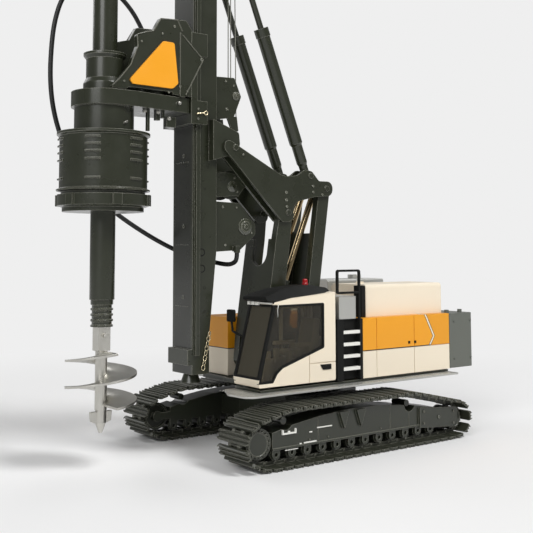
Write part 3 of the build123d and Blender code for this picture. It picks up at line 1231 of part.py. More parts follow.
def tool_socket():
    """Square socket that takes the tool, with its locking pin."""
    h = SOCKET_HALF
    body = block(KELLY_X - h, KELLY_X + h, -h, h, SOCKET_LOW, STUB_LOW)
    z = (SOCKET_LOW + STUB_LOW) / 2 + 1.4
    return body + bar_y(KELLY_X, z, SOCKET_PIN_R, -h - 1.4, h + 1.4)


def auger():
    """Right-handed screw of two turns on a round stem, with a pilot and a two-winged cutter."""
    low = FLIGHT_TOP - FLIGHT_TURNS * FLIGHT_PITCH
    spine = Helix(pitch=FLIGHT_PITCH, height=FLIGHT_TURNS * FLIGHT_PITCH, radius=FLIGHT_R)
    root, half = STEM_R - 0.6, FLIGHT_THICK / 2
    blade = Plane.XZ * outline([(root, -half), (FLIGHT_R, -half), (FLIGHT_R, half), (root, half)])
    flight = Pos(KELLY_X, 0, low) * Rot(0, 0, FLIGHT_START) * sweep(blade, path=spine, is_frenet=True)
    stem = bar_z(KELLY_X, 0, STEM_R, low - 2.0, SOCKET_LOW)
    pilot = turned(KELLY_X, 0, [(0, TIP_LOW), (0.8, TIP_LOW), (PILOT_R, TIP_LOW + 4.0), (PILOT_R, low - 1.0),
                                (0, low - 1.0)])
    half_wing = [(4.6, low - 2.6), (4.2, low - 6.4, 0.6), (1.0, low - 7.6)]
    wings = plate_xz([(KELLY_X + x, *rest) for x, *rest in half_wing]
                     + [(KELLY_X - x, *rest) for x, *rest in reversed(half_wing)], -WING_HALF, WING_HALF)
    return joined([flight, stem, pilot, wings])


for name, side in SIDES:
    track_side(name, side)
    write(f"walkway_{name}", walkway(side))
    write(f"side_housing_{name}", side_housing(side))
    write(f"sledge_panel_{name}", sledge_panel(side))
write("car_body", car_body())
write("slew_ring", slew_ring())
write("deck", deck())
write("cab_shell", cab_shell())
write("cab_frame", cab_frame())
write("cab_glass", cab_glass())
write("cab_seat", cab_seat())
write("cab_roof", cab_roof())
write("cab_lamps", cab_lamps())
write("beacon", beacon())
write("mirror", mirror_arm())
write("ladder", ladder())
write("ladder_rungs", ladder_rungs())
write("engine_cover", engine_cover())
write("tank", tank())
write("silencer", silencer())
write("exhaust", exhaust())
write("air_box", air_box())
write("handrail", handrail())
write("counterweight", counterweight())
write("front_link", front_link())
write("rear_link", rear_link())
write("rocker", rocker())
write("luff_barrels", both_sides(cylinder_barrel(
    FRONT_FOOT, REAR_HEAD, LUFF_Y, LUFF_STEPS, LUFF_EYE_R, PIN_R + RUN_FIT, LUFF_EYE_HALF, LUFF_ROD_R)))
write("luff_rods", both_sides(cylinder_rod(
    FRONT_FOOT, REAR_HEAD, LUFF_Y, LUFF_ROD_START, LUFF_ROD_R, LUFF_EYE_R, OPEN_EYE_BORE, LUFF_EYE_HALF)))
write("stay_barrels", both_sides(cylinder_barrel(
    STAY_FOOT, STAY_HEAD, STAY_Y, STAY_STEPS, STAY_EYE_R, PIN_R + RUN_FIT, STAY_EYE_HALF, STAY_ROD_R)))
write("stay_rods", both_sides(cylinder_rod(
    STAY_FOOT, STAY_HEAD, STAY_Y, STAY_ROD_START, STAY_ROD_R, STAY_EYE_R, OPEN_EYE_BORE, STAY_EYE_HALF)))
write("leader", leader())
for winch_name, wx, wz, drum_r, flange_r in WINCHES:
    write(winch_name, winch(wx, wz, drum_r, flange_r))
write("leader_head", leader_head())
write("sheave_front", sheave(*SHEAVES[0]))
write("sheave_rear", sheave(*SHEAVES[1]))
write("sledge", sledge())
write("gearbox", gearbox())
write("drive_sleeve", drive_sleeve())
write("kelly_bar", kelly_bar())
write("kelly_stub", kelly_stub())
write("tool_socket", tool_socket())
write("auger", auger())
write("hose", hose(HOSE_ROUTE, HOSE_R))
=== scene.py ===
"""Collector's model of a rotary piling rig: its finishes, hoses, ropes and fastenings, and a pale studio."""
import json

import bmesh
import bpy
import numpy as np
from mathutils import Matrix, Vector


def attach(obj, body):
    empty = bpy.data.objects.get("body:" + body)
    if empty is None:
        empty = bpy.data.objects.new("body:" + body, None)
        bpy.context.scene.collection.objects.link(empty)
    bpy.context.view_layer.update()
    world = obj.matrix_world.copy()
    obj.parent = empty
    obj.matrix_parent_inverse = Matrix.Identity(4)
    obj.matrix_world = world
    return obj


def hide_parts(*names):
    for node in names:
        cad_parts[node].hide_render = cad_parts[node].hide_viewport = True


bl_info = {
    "name": "Piling rig model dresser",
    "version": (1, 0, 0),
    "blender": (4, 5, 0),
    "location": "3D View > Sidebar > Piling rig",
    "description": "Adds finishes, hoses, ropes, fastenings and a pale studio to the packed piling rig",
    "category": "Object",
}

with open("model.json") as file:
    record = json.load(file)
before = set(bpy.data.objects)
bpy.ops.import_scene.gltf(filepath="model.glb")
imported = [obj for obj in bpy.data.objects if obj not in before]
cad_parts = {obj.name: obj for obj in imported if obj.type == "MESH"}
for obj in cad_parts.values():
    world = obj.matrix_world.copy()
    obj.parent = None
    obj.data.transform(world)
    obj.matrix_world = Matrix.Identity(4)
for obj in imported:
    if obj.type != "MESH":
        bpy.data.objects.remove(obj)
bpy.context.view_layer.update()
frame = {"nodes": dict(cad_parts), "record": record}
MM = 0.001
SLEW_X = -16.85             # mm, the slew axis in the frame


# Colours and lengths

def linear(code):
    """Turns an sRGB hex value into the linear colour that the shaders take."""
    srgb = np.array([int(code[i:i + 2], 16) for i in (0, 2, 4)]) / 255.0
    return tuple(np.where(srgb <= 0.04045, srgb / 12.92, ((srgb + 0.055) / 1.055) ** 2.4)) + (1.0,)


def colour(name, code, description):
    """A colour that a user would change."""
    return bpy.props.FloatVectorProperty(name=name, description=description, subtype="COLOR", size=4,
                                         min=0.0, max=1.0, default=linear(code))


def millimetres(name, value, description):
    """A size in millimetres that a user would change."""
    return bpy.props.FloatProperty(name=name, description=description, default=value, min=0.0)


def metres(points):
    """Points in millimetres from the slew axis, as metres in the frame."""
    return (np.asarray(points, float) + (SLEW_X, 0.0, 0.0)) * MM


# Settings

class RigColours(bpy.types.PropertyGroup):
    """Paint and plastic colours."""
    olive: colour("Olive enamel", "282B1F", "Leader, linkage and drill head")
    frame_grey: colour("Frame enamel", "272A20", "Undercarriage and deck")
    track: colour("Track plastic", "2E3026", "Crawler tracks")
    cream: colour("Cream enamel", "EEE2CC", "Cab, tank and lower housings")
    yellow: colour("Yellow enamel", "EDA01C", "Band on the housings and head panels")
    weight: colour("Grey enamel", "62655E", "Tail weight")
    silver: colour("Silver enamel", "C4C4BF", "Walkways, silencer and air filter")
    steel: colour("Bright steel", "C9C7C0", "Auger, tool socket and cylinder rods")
    black: colour("Black plastic", "0E0F0D", "Roof, seat, ladder and seals")
    white: colour("White plastic", "ECEBE4", "Lamps and rungs")
    red: colour("Red plastic", "A3181C", "Warning lamp")
    glass: colour("Smoke glass", "E4E0D4", "Cab windows")
    rubber: colour("Hose rubber", "171817", "Hoses")
    brass: colour("Brass", "E3D6B4", "Foot chain and eye")
    rod: colour("Polished rod", "BBA681", "Luffing cylinder rods")
    seat: colour("Seat plastic", "B4AFA2", "Seat and lever consoles")
    rope: colour("Rope", "7C7C72", "Winch ropes")


class RigSizes(bpy.types.PropertyGroup):
    """Sizes of the fine pieces, in millimetres."""
    hose: millimetres("Hose", 2.0, "Diameter of the long hose")
    edge: millimetres("Edge radius", 0.32, "Radius that the paint gives to each edge")


class StudioSettings(bpy.types.PropertyGroup):
    """Floor and light of the pale studio."""
    floor: colour("Floor", "EFEFEF", "Floor and backdrop")
    key: bpy.props.FloatProperty(name="Key light", description="Strength of the key light", default=1.0)


# Meshes from parametric surfaces

def lofted(rows, capped=True):
    """Vertices and faces of skins over rings of points.

    rows has the shape (copies, rings, points, 3). Neighbouring rings are joined by four-sided faces, and
    where capped is set the first and last rings are closed by one face each.
    """
    rows = np.asarray(rows, float)
    copies, count, points = rows.shape[:3]
    index = np.arange(copies * count * points).reshape(copies, count, points)
    ahead = np.roll(index, -1, axis=2)
    quads = np.stack([index[:, :-1], ahead[:, :-1], ahead[:, 1:], index[:, 1:]], axis=-1)
    faces = quads.reshape(-1, 4).tolist()
    if capped:
        faces += index[:, 0, ::-1].tolist() + index[:, -1].tolist()
    return rows.reshape(-1, 3), faces


def piece(name, skins, body, material, smooth=35.0):
    """One named object on a body, from skins of vertices (millimetres from the slew axis) and faces."""
    starts = np.cumsum([0] + [len(vertices) for vertices, _ in skins])
    vertices = metres(np.concatenate([v for v, _ in skins]))
    faces = [[i + start for i in face] for start, (_, fs) in zip(starts, skins) for face in fs]
    mesh = bpy.data.meshes.new(name)
    mesh.from_pydata(vertices.tolist(), [], faces)
    mesh.validate()
    mesh.materials.append(material)
    made = bpy.data.objects.new(name, mesh)
    bpy.context.scene.collection.objects.link(made)
    outward(mesh)
    mesh.shade_smooth()
    mesh.set_sharp_from_angle(angle=np.radians(smooth))
    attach(made, body)
    return made


def outward(mesh):
    """Turns the faces of each closed skin outwards."""
    work = bmesh.new()
    work.from_mesh(mesh)
    bmesh.ops.recalc_face_normals(work, faces=work.faces)
    work.to_mesh(mesh)
    work.free()


def turned(centres, axis, steps, sides=14):
    """Skins turned about one direction, one at each centre.

    steps are pairs of distance along the axis and radius. The point of a ring at angle a is the centre, plus
    the distance along the axis, plus the radius times cos a and sin a along two directions across it.
    """
    centres = np.asarray(centres, float).reshape(-1, 3)
    steps = np.asarray(steps, float)
    axis = np.asarray(axis, float) / np.linalg.norm(axis)
    side = np.cross(axis, (0.0, 0.0, 1.0) if abs(axis[2]) < 0.9 else (1.0, 0.0, 0.0))
    side /= np.linalg.norm(side)
    angle = np.linspace(0, 2 * np.pi, sides, endpoint=False)
    circle = np.cos(angle)[:, None] * side + np.sin(angle)[:, None] * np.cross(axis, side)
    rows = centres[:, None, None] + steps[:, 0, None, None] * axis + steps[:, 1, None, None] * circle
    return lofted(rows)


def prisms(outlines, low, high):
    """Upright walls over outlines of x and z, one skin for each, carried across from y low to y high."""
    outlines = np.asarray(outlines, float)
    rows = np.empty((len(outlines), 2, outlines.shape[1], 3))
    rows[..., 0] = outlines[:, None, :, 0]
    rows[..., 1] = np.array([low, high])[:, None]
    rows[..., 2] = outlines[:, None, :, 1]
    return lofted(rows)


def tube(points, radius, sides=10):
    """A round bar along points that lie in an XZ plane.

    A ring at a point has cos a times the direction across the run in that plane and sin a times Y.
    """
    points = np.asarray(points, float)
    run = np.gradient(points, axis=0)
    run /= np.linalg.norm(run, axis=1)[:, None]
    across = np.cross(run, (0.0, 1.0, 0.0))
    across /= np.linalg.norm(across, axis=1)[:, None]
    angle = np.linspace(0, 2 * np.pi, sides, endpoint=False)[None, :, None]
    rows = points[:, None] + radius * (np.cos(angle) * across[:, None] + np.sin(angle) * (0.0, 1.0, 0.0))
    return lofted(rows[None])


def mirrored(skin):
    """The same skin on the other side of the middle plane."""
    vertices, faces = skin
    return vertices * (1.0, -1.0, 1.0), [face[::-1] for face in faces]


def on_both_sides(skins):
    """The skins and their mirrored copies."""
    return skins + [mirrored(skin) for skin in skins]


# Node helper and finishes

def add(tree, kind, inputs=None, **settings):
    """Adds a node. An input is a value, or the output of another node, which is linked."""
    made = tree.nodes.new(kind)
    for key, value in settings.items():
        setattr(made, key, value)
    for key, value in (inputs or {}).items():
        if isinstance(value, bpy.types.NodeSocket):
            tree.links.new(value, made.inputs[key])
        else:
            made.inputs[key].default_value = value
    return made


def shade(rgba, factor):
    """A colour made darker or lighter."""
    return tuple(min(1.0, c * factor) for c in rgba[:3]) + (1.0,)


def blank(name):
    """A new material whose node tree is empty, and that tree."""
    made = bpy.data.materials.new(name)
    made.use_nodes = True
    made.node_tree.nodes.clear()
    return made, made.node_tree


CLOUD = 9.0                 # mm, width of the clouds in the paint
PEEL_CELL = 0.5             # mm, width of the cells of its orange peel
ROUGHNESS_SPREAD = 0.05     # how far the clouds move the roughness each way
EDGE_HIGHLIGHT_RANGE = (0.995, 0.93)   # cosine of the rounded to the flat normal, where the painted edge highlight starts and is full
# colour of the painted highlight along the edges
EDGE_HIGHLIGHT_TINT = linear("A6A597")


def enamel(name, tint, roughness=0.42, metallic=0.0, mottle=0.05, peel=0.02, base=None, edge_highlight=0.0,
           ior=1.48, coat=0.0):
    """Sprayed enamel on a die casting: satin, even, with a faint orange peel and paint-rounded edges.

    mottle is how far the clouds move the colour each way, and peel the depth of the orange peel in mm. The
    IOR is that of acrylic enamel. base, where given, makes the base colour from the tree and the place.
    edge_highlight lightens the colour where the rounded normal leaves the face's own: a painted highlight
    along the edges.
    coat is the weight of the clear gloss that lies over the satin paint.
    """
    made, tree = blank(name)
    place = add(tree, "ShaderNodeTexCoord").outputs["Object"]
    cloud = add(tree, "ShaderNodeTexNoise", {"Vector": place, "Scale": 1 / (CLOUD * MM), "Detail": 4.0})
    cells = add(tree, "ShaderNodeTexNoise", {"Vector": place, "Scale": 1 / (PEEL_CELL * MM), "Detail": 1.0})
    if base is None:
        ramp = add(tree, "ShaderNodeMix", {"Factor": cloud.outputs["Fac"], "A": shade(tint, 1 - mottle),
                                           "B": shade(tint, 1 + mottle)}, data_type="RGBA")
        base = ramp.outputs[2]
    else:
        base = base(tree, place)
    rough = add(tree, "ShaderNodeMapRange", {"Value": cloud.outputs["Fac"], "From Min": 0.3, "From Max": 0.7,
                                             "To Min": roughness - ROUGHNESS_SPREAD,
                                             "To Max": roughness + ROUGHNESS_SPREAD})
    edge = add(tree, "ShaderNodeBevel", {"Radius": bpy.context.scene.rig_sizes.edge * MM}, samples=4)
    bump = add(tree, "ShaderNodeBump", {"Height": cells.outputs["Fac"], "Strength": 0.35,
                                        "Distance": peel * MM, "Normal": edge.outputs["Normal"]})
    # painted highlight: the colour is lightened along the rounded edges
    if edge_highlight:
        flat = add(tree, "ShaderNodeNewGeometry").outputs["Normal"]
        along = add(tree, "ShaderNodeVectorMath", {0: edge.outputs["Normal"], 1: flat},
                    operation="DOT_PRODUCT")
        highlight_share = add(tree, "ShaderNodeMapRange", {"Value": along.outputs["Value"], "From Min": EDGE_HIGHLIGHT_RANGE[0],
                                                "From Max": EDGE_HIGHLIGHT_RANGE[1], "To Min": 0.0, "To Max": edge_highlight})
        lit = add(tree, "ShaderNodeMix", {"Factor": highlight_share.outputs["Result"], "A": base, "B": EDGE_HIGHLIGHT_TINT},
                  data_type="RGBA")
        base = lit.outputs[2]
    shader = add(tree, "ShaderNodeBsdfPrincipled", {"Base Color": base, "Roughness": rough.outputs["Result"],
                                                    "Metallic": metallic, "IOR": ior,
                                                    "Coat Weight": coat, "Coat Roughness": 0.12,
                                                    "Normal": bump.outputs["Normal"]})
    add(tree, "ShaderNodeOutputMaterial", {"Surface": shader.outputs["BSDF"]})
    return made


def smoke_glass(name, tint):
    """Clear styrene moulding with a smoke tint: slim, glossy, rippled, and darker where two panes overlap."""
    made, tree = blank(name)
    place = add(tree, "ShaderNodeTexCoord").outputs["Object"]
    ripple = add(tree, "ShaderNodeTexNoise", {"Vector": place, "Scale": 1 / (6 * MM), "Detail": 1.0})
    bump = add(tree, "ShaderNodeBump", {"Height": ripple.outputs["Fac"], "Strength": 0.1,
                                        "Distance": 0.05 * MM})
    through = add(tree, "ShaderNodeBsdfTransparent", {"Color": tint})
    gloss = add(tree, "ShaderNodeBsdfPrincipled", {"Base Color": shade(tint, 0.22), "Roughness": 0.12,
                                                   "IOR": 1.55, "Normal": bump.outputs["Normal"]})
    mirror = add(tree, "ShaderNodeFresnel", {"IOR": 1.5, "Normal": bump.outputs["Normal"]})
    share = add(tree, "ShaderNodeMapRange", {"Value": mirror.outputs["Fac"], "To Min": 0.1, "To Max": 1.0})
    both = add(tree, "ShaderNodeMixShader", {"Fac": share.outputs["Result"]})
    tree.links.new(through.outputs["BSDF"], both.inputs[1])
    tree.links.new(gloss.outputs["BSDF"], both.inputs[2])
    add(tree, "ShaderNodeOutputMaterial", {"Surface": both.outputs["Shader"]})
    return made


# Paint pattern of the housings: yellow over cream, with a chevron towards the tail

BAND_LOW = 40.9             # mm, lower edge of the yellow band
BAND_LINE = 0.4             # mm, height of the dark line along that edge
CHEVRON_TIP = (-58.6, 45.3)   # mm, x and z
CHEVRON_SLOPES = (0.56, -0.66)   # mm of x to a mm of z, over and under the tip
CHEVRON_LINES = (0.0, 0.35, 1.3, 1.65)   # mm ahead of the tip where the colour changes


def housing_paint(tree, place):
    """Base colour of the housings: cream, and over it the yellow band with its chevron.

    The distance from the chevron is x, minus the tip's x, minus the larger of the slopes times the rise over
    the tip's z.
    """
    colours = bpy.context.scene.rig_colours
    part = add(tree, "ShaderNodeSeparateXYZ", {"Vector": place})

    def sum_up(kind, a, b):
        math = add(tree, "ShaderNodeMath", operation=kind)
        for socket, value in zip(math.inputs, (a, b)):
            if isinstance(value, bpy.types.NodeSocket):
                tree.links.new(value, socket)
            else:
                socket.default_value = value
        return math.outputs[0]

    x, z = part.outputs["X"], part.outputs["Z"]
    rise = sum_up("SUBTRACT", z, CHEVRON_TIP[1] * MM)
    bend = sum_up("MAXIMUM", *(sum_up("MULTIPLY", rise, slope) for slope in CHEVRON_SLOPES))
    away = sum_up("SUBTRACT", sum_up("SUBTRACT", x, (CHEVRON_TIP[0] + SLEW_X) * MM), bend)
    over = sum_up("GREATER_THAN", z, BAND_LOW * MM)
    passed = [sum_up("GREATER_THAN", away, d * MM) for d in CHEVRON_LINES]
    dark_line = shade(colours.black, 1.5)
    low_line = sum_up("MULTIPLY", sum_up("LESS_THAN", z, (BAND_LOW + BAND_LINE) * MM), passed[0])
    shown = shade(colours.yellow, 0.93)
    for mask, tint in ((passed[0], dark_line), (passed[1], colours.cream), (passed[2], dark_line),
                       (passed[3], colours.yellow), (low_line, dark_line)):
        mixed = add(tree, "ShaderNodeMix", {"Factor": mask, "B": tuple(tint)}, data_type="RGBA")
        if isinstance(shown, tuple):
            mixed.inputs["A"].default_value = shown
        else:
            tree.links.new(shown, mixed.inputs["A"])
        shown = mixed.outputs[2]
    whole = add(tree, "ShaderNodeMix", {"Factor": over, "A": tuple(colours.cream), "B": shown},
                data_type="RGBA")
    return whole.outputs[2]


CHANNEL_X = 62.93           # mm, the front face of the leader
CHANNEL_HALF = 6.3          # mm, half the width of its channel
CHANNEL_DEPTH = 0.1         # mm, how far from that face the channel's painted shadow still reaches
CHANNEL_SHADOW = 0.5         # brightness of the channel's painted shadow, as a share of the olive


def leader_paint_with_channel_shadow(tree, place):
    """Base colour of the olive castings, with a painted shadow that darkens the leader's front channel."""
    olive = bpy.context.scene.rig_colours.olive
    part = add(tree, "ShaderNodeSeparateXYZ", {"Vector": place})
    cloud = add(tree, "ShaderNodeTexNoise", {"Vector": place, "Scale": 1 / (CLOUD * MM), "Detail": 4.0})
    spread = add(tree, "ShaderNodeMath", {0: part.outputs["Y"]}, operation="ABSOLUTE")
    near = add(tree, "ShaderNodeMath", {0: spread.outputs[0], 1: CHANNEL_HALF * MM}, operation="LESS_THAN")
    front = add(tree, "ShaderNodeMath", {0: part.outputs["X"], 1: (CHANNEL_X + SLEW_X) * MM},
                operation="SUBTRACT")
    flat = add(tree, "ShaderNodeMath", {0: front.outputs[0], 1: 0.0, 2: CHANNEL_DEPTH * MM},
               operation="COMPARE")
    both = add(tree, "ShaderNodeMath", {0: near.outputs[0], 1: flat.outputs[0]}, operation="MULTIPLY")
    sprayed = add(tree, "ShaderNodeMix", {"Factor": cloud.outputs["Fac"], "A": shade(olive, 0.93),
                                          "B": shade(olive, 1.07)}, data_type="RGBA")
    # painted shadow: the olive is darkened on the leader's front channel
    shadowed = add(tree, "ShaderNodeMix", {"Factor": both.outputs[0], "A": sprayed.outputs[2],
                                         "B": shade(olive, CHANNEL_SHADOW)}, data_type="RGBA")
    return shadowed.outputs[2]


FINISHES = {}


def finish(name):
    """The material of a slot of the record, or of one of the scene's own looks."""
    return FINISHES[name]


class RIG_OT_finishes(bpy.types.Operator):
    """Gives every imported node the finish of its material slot"""
    bl_idname = "rig.finishes"
    bl_label = "Finishes"

    def execute(self, context):
        c = context.scene.rig_colours
        # the fourth value of a finish's enamel sets how strongly its edges get the painted highlight
        FINISHES["rig_dark"] = enamel("olive_enamel", c.olive, 0.3, edge_highlight=0.6, base=leader_paint_with_channel_shadow, coat=0.22)
        FINISHES["frame_dark"] = enamel("grey_green_enamel", c.frame_grey, 0.34, edge_highlight=0.5, coat=0.25)
        FINISHES["track_dark"] = enamel("track_plastic", c.track, 0.42, mottle=0.12, peel=0.04, edge_highlight=0.5,
                                        coat=0.15)
        FINISHES["cream"] = enamel("cream_enamel", c.cream, 0.38, mottle=0.015)
        FINISHES["yellow"] = enamel("yellow_enamel", c.yellow, 0.38, mottle=0.02)
        FINISHES["housing"] = enamel("banded_enamel", c.yellow, 0.38, base=housing_paint)
        FINISHES["weight_grey"] = enamel("weight_enamel", c.weight, 0.45)
        FINISHES["silver"] = enamel("silver_enamel", c.silver, 0.36, metallic=0.7)
        FINISHES["bright_metal"] = enamel("turned_steel", c.steel, 0.34, metallic=1.0)
        FINISHES["black"] = enamel("black_plastic", c.black, 0.62, mottle=0.3, peel=0.06, ior=1.33)
        FINISHES["white"] = enamel("white_plastic", c.white, 0.3, mottle=0.01)
        FINISHES["red"] = enamel("red_plastic", c.red, 0.2)
        FINISHES["hose_black"] = enamel("hose_rubber", c.rubber, 0.48, peel=0.01)
        # bolts and hubs: the olive lightened 1.5 times as a painted highlight, with the painted edge
        # highlight on top
        FINISHES["bolt"] = enamel("bolt_highlight_enamel", shade(c.olive, 1.5), 0.2, edge_highlight=0.8, coat=1.0)
        FINISHES["rod"] = enamel("polished_rod", c.rod, 0.18, metallic=1.0)
        FINISHES["seat"] = enamel("seat_plastic", c.seat, 0.5)
        FINISHES["brass"] = enamel("polished_brass", c.brass, 0.25, metallic=1.0)
        FINISHES["rope"] = enamel("laid_rope", c.rope, 0.6)
        FINISHES["glass"] = smoke_glass("smoke_styrene", tuple(c.glass))
        slots = {row["node"]: row["material_slot"] for row in frame["record"]["subparts"]}
        for node, obj in frame["nodes"].items():
            slot = {"cab_seat": "seat", "luff_rods": "rod"}.get(node, slots[node])
            slot = "housing" if node.startswith("side_housing") else slot
            obj.data.materials.clear()
            obj.data.materials.append(finish(slot))
        return {"FINISHED"}


# Hose

HOSE_ROUTE = (
    (72.0, -13.0, 178.0), (72.0, -16.2, 178.0), (73.2, -18.4, 183.6), (78.0, -18.8, 191.5),
    (85.5, -18.6, 198.0), (95.0, -18.8, 202.0), (104.5, -19.2, 200.5), (111.0, -19.6, 193.0),
    (114.4, -20.0, 181.5), (115.6, -20.0, 169.0), (115.7, -20.2, 157.0), (114.2, -20.6, 145.5),
    (110.6, -21.0, 134.0), (104.2, -21.8, 122.0), (95.6, -22.0, 111.0), (84.6, -20.6, 102.0),
    (73.0, -18.6, 94.4), (61.5, -15.8, 87.8), (51.6, -11.0, 83.0), (45.0, -4.0, 80.8),
    (41.2, 2.4, 79.4), (40.0, 6.4, 80.6), (40.0, 7.6, 83.0), (40.0, 7.6, 84.8),
)


def spline(name, points, radius):
    """A smooth round line: an open NURBS curve of order 3 with the given points as control points."""
    line = bpy.data.curves.new(name, "CURVE")
    line.dimensions = "3D"
    line.bevel_depth = radius
    line.bevel_resolution = 5
    line.resolution_u = 8
    line.use_fill_caps = True
    run = line.splines.new("NURBS")
    run.points.add(len(points) - 1)
    run.points.foreach_set("co", np.c_[points, np.ones(len(points))].ravel())
    run.order_u = 3
    run.use_endpoint_u = True
    made = bpy.data.objects.new(name, line)
    bpy.context.scene.collection.objects.link(made)
    return made


class RIG_OT_hose(bpy.types.Operator):
    """Lays the long black hose from the drill head round to the back of the leader"""
    bl_idname = "rig.hose"
    bl_label = "Long hose"

    def execute(self, context):
        radius = context.scene.rig_sizes.hose / 2 * MM
        points = metres(HOSE_ROUTE)
        hose = spline("long_hose", points, radius)
        hose.data.materials.append(finish("hose_black"))
        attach(hose, "leader")
        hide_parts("hose")
        return {"FINISHED"}


# Tracks

SHOE_PITCH = 5.3            # mm, as are the sizes below
SHOE_HALF = 10.15           # half the width of a shoe
TRACK_Y = 38.4              # middle of a track
BELT = (
    # x, z and radius of the circles that the pin line runs round, anticlockwise from the sprocket
    (-56.7, 8.7, 6.3), (-45.71, 2.21, 0.01), (51.4, 2.21, 0.01), (55.3, 10.6, 7.5), (42.0, 18.0, 3.4),
    (-28.0, 18.0, 3.4),
)
SHOE = (
    # share of the pitch from the middle of a link, height over the pin line
    (-0.42, 0.75), (-0.42, 1.75), (-0.38, 2.2), (-0.31, 2.2), (-0.27, 1.35), (-0.07, 1.35), (-0.04, 2.0),
    (0.04, 2.0), (0.07, 1.35), (0.27, 1.35), (0.31, 2.2), (0.38, 2.2), (0.42, 1.75), (0.42, 0.75),
)
SHOE_ENDS = (
    # share of the half width, share of the length
    (-1.0, 0.72), (-0.93, 1.0), (0.93, 1.0), (1.0, 0.72),
)
LINK = (
    # share of the pitch, height over the pin line
    (-0.56, -0.35), (-0.47, -0.85), (-0.3, -0.95), (-0.12, -0.5), (0.12, -0.5), (0.3, -0.95), (0.47, -0.85),
    (0.56, -0.35), (0.5, 0.75), (-0.5, 0.75),
)
LINK_LAYERS = ((-3.6, -2.9), (-2.8, -2.1), (2.1, 2.8), (2.9, 3.6))   # y from and to, from a track's middle
LINK_PIN = 0.5              # radius of a link's pin
LINK_PIN_HALF = 3.9


def belt_points(circles, pitch):
    """Evenly spaced points, about a pitch apart, on a belt round circles.

    A straight span leaves a circle at the heading of the next centre minus the angle whose cosine is the
    difference of the two radii over the distance of the centres. The points are read off along the length.
    """
    circles = np.asarray(circles, float)
    ahead = np.roll(circles, -1, axis=0)
    step = ahead[:, :2] - circles[:, :2]
    lean = np.arccos((circles[:, 2] - ahead[:, 2]) / np.hypot(step[:, 0], step[:, 1]))
    leaves = np.arctan2(step[:, 1], step[:, 0]) - lean
    meets = np.roll(leaves, 1)
    angle = meets[:, None] + ((leaves - meets) % (2 * np.pi))[:, None] * np.linspace(0, 1, 49)
    arcs = circles[:, None, :2] + circles[:, None, 2:] * np.stack([np.cos(angle), np.sin(angle)], axis=-1)
    line = arcs.reshape(-1, 2)
    line = np.concatenate([line, line[:1]])
    length = np.concatenate([[0.0], np.cumsum(np.hypot(*np.diff(line, axis=0).T))])
    at = np.linspace(0, length[-1], round(length[-1] / pitch), endpoint=False)
    return np.stack([np.interp(at, length, line[:, i]) for i in (0, 1)], axis=-1)


def on_links(pins, profile, layers):
    """Skins of one profile at each link.

    x and z are the link's middle, plus the share of the pitch along it, plus the height along its outward
    normal. layers are y and a factor on the share.
    """
    profile = np.asarray(profile, float)
    ahead = np.roll(pins, -1, axis=0)
    middle, run = (pins + ahead) / 2, ahead - pins
    normal = np.stack([run[:, 1], -run[:, 0]], axis=-1) / np.linalg.norm(run, axis=1)[:, None]
    rows = np.empty((len(pins), len(layers), len(profile), 3))
    for k, (y, factor) in enumerate(layers):
        flat = middle[:, None] + profile[:, 0, None] * factor * run[:, None]
        flat += profile[:, 1, None] * normal[:, None]
        rows[:, k, :, 0], rows[:, k, :, 1], rows[:, k, :, 2] = flat[..., 0], y, flat[..., 1]
    return lofted(rows)


class RIG_OT_tracks(bpy.types.Operator):
    """Lays separate shoes with three ridges, links and pins round both sets of wheels"""
    bl_idname = "rig.tracks"
    bl_label = "Tracks"

    def execute(self, context):
        pins = belt_points(BELT, SHOE_PITCH)
        shoes = on_links(pins, SHOE, [(TRACK_Y + y * SHOE_HALF, factor) for y, factor in SHOE_ENDS])
        links = [on_links(pins, LINK, [(TRACK_Y + y0, 1.0), (TRACK_Y + y1, 1.0)]) for y0, y1 in LINK_LAYERS]
        centres = np.insert(pins, 1, TRACK_Y, axis=1)
        bars = turned(centres, (0, 1, 0), [(-LINK_PIN_HALF, LINK_PIN), (LINK_PIN_HALF, LINK_PIN)], 10)
        near = [shoes, bars] + links
        for side, skins in (("left", near), ("right", [mirrored(skin) for skin in near])):
            made = piece(f"track_chain_{side}", skins, "undercarriage", finish("track_dark"),
                         smooth=25.0)
            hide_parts(f"track_{side}")
        return {"FINISHED"}


WHEEL_FACES = (
    # x, z, radius of the scalloped plates on the outer faces of the idler and the sprocket
    (55.8, 10.6, 5.2), (-56.7, 8.7, 4.8),
)
WHEEL_FACE_Y = (43.7, 44.3)   # foot and top of a plate
WHEEL_HOLLOW = (0.86, 0.82, 0.15)   # shares of the radius at the rim and foot of its hollow, and its depth
SCALLOPS = 18
SCALLOP_DEPTH = 0.45        # mm that the rim swings each way


class RIG_OT_wheel_faces(bpy.types.Operator):
    """Puts the scalloped plates on the outer faces of the end wheels"""
    bl_idname = "rig.wheel_faces"
    bl_label = "Wheel faces"

    def execute(self, context):
        angle = np.linspace(0, 2 * np.pi, SCALLOPS * 6, endpoint=False)
        y0, y1 = WHEEL_FACE_Y
        rim, foot, depth = WHEEL_HOLLOW
        skins = []
        for x, z, radius in WHEEL_FACES:
            reach = radius + SCALLOP_DEPTH * np.cos(SCALLOPS * angle)
            rows = [(y0, reach), (y1 - 0.1, reach), (y1, reach - 0.15), (y1, rim * radius + 0 * angle),
                    (y1 - depth, foot * radius + 0 * angle)]
            rings = [np.c_[x + r * np.cos(angle), y + 0 * angle, z + r * np.sin(angle)] for y, r in rows]
            skins.append(lofted(np.array(rings)[None]))
        piece("wheel_faces", on_both_sides(skins), "undercarriage", finish("frame_dark"))
        return {"FINISHED"}


# Fastenings

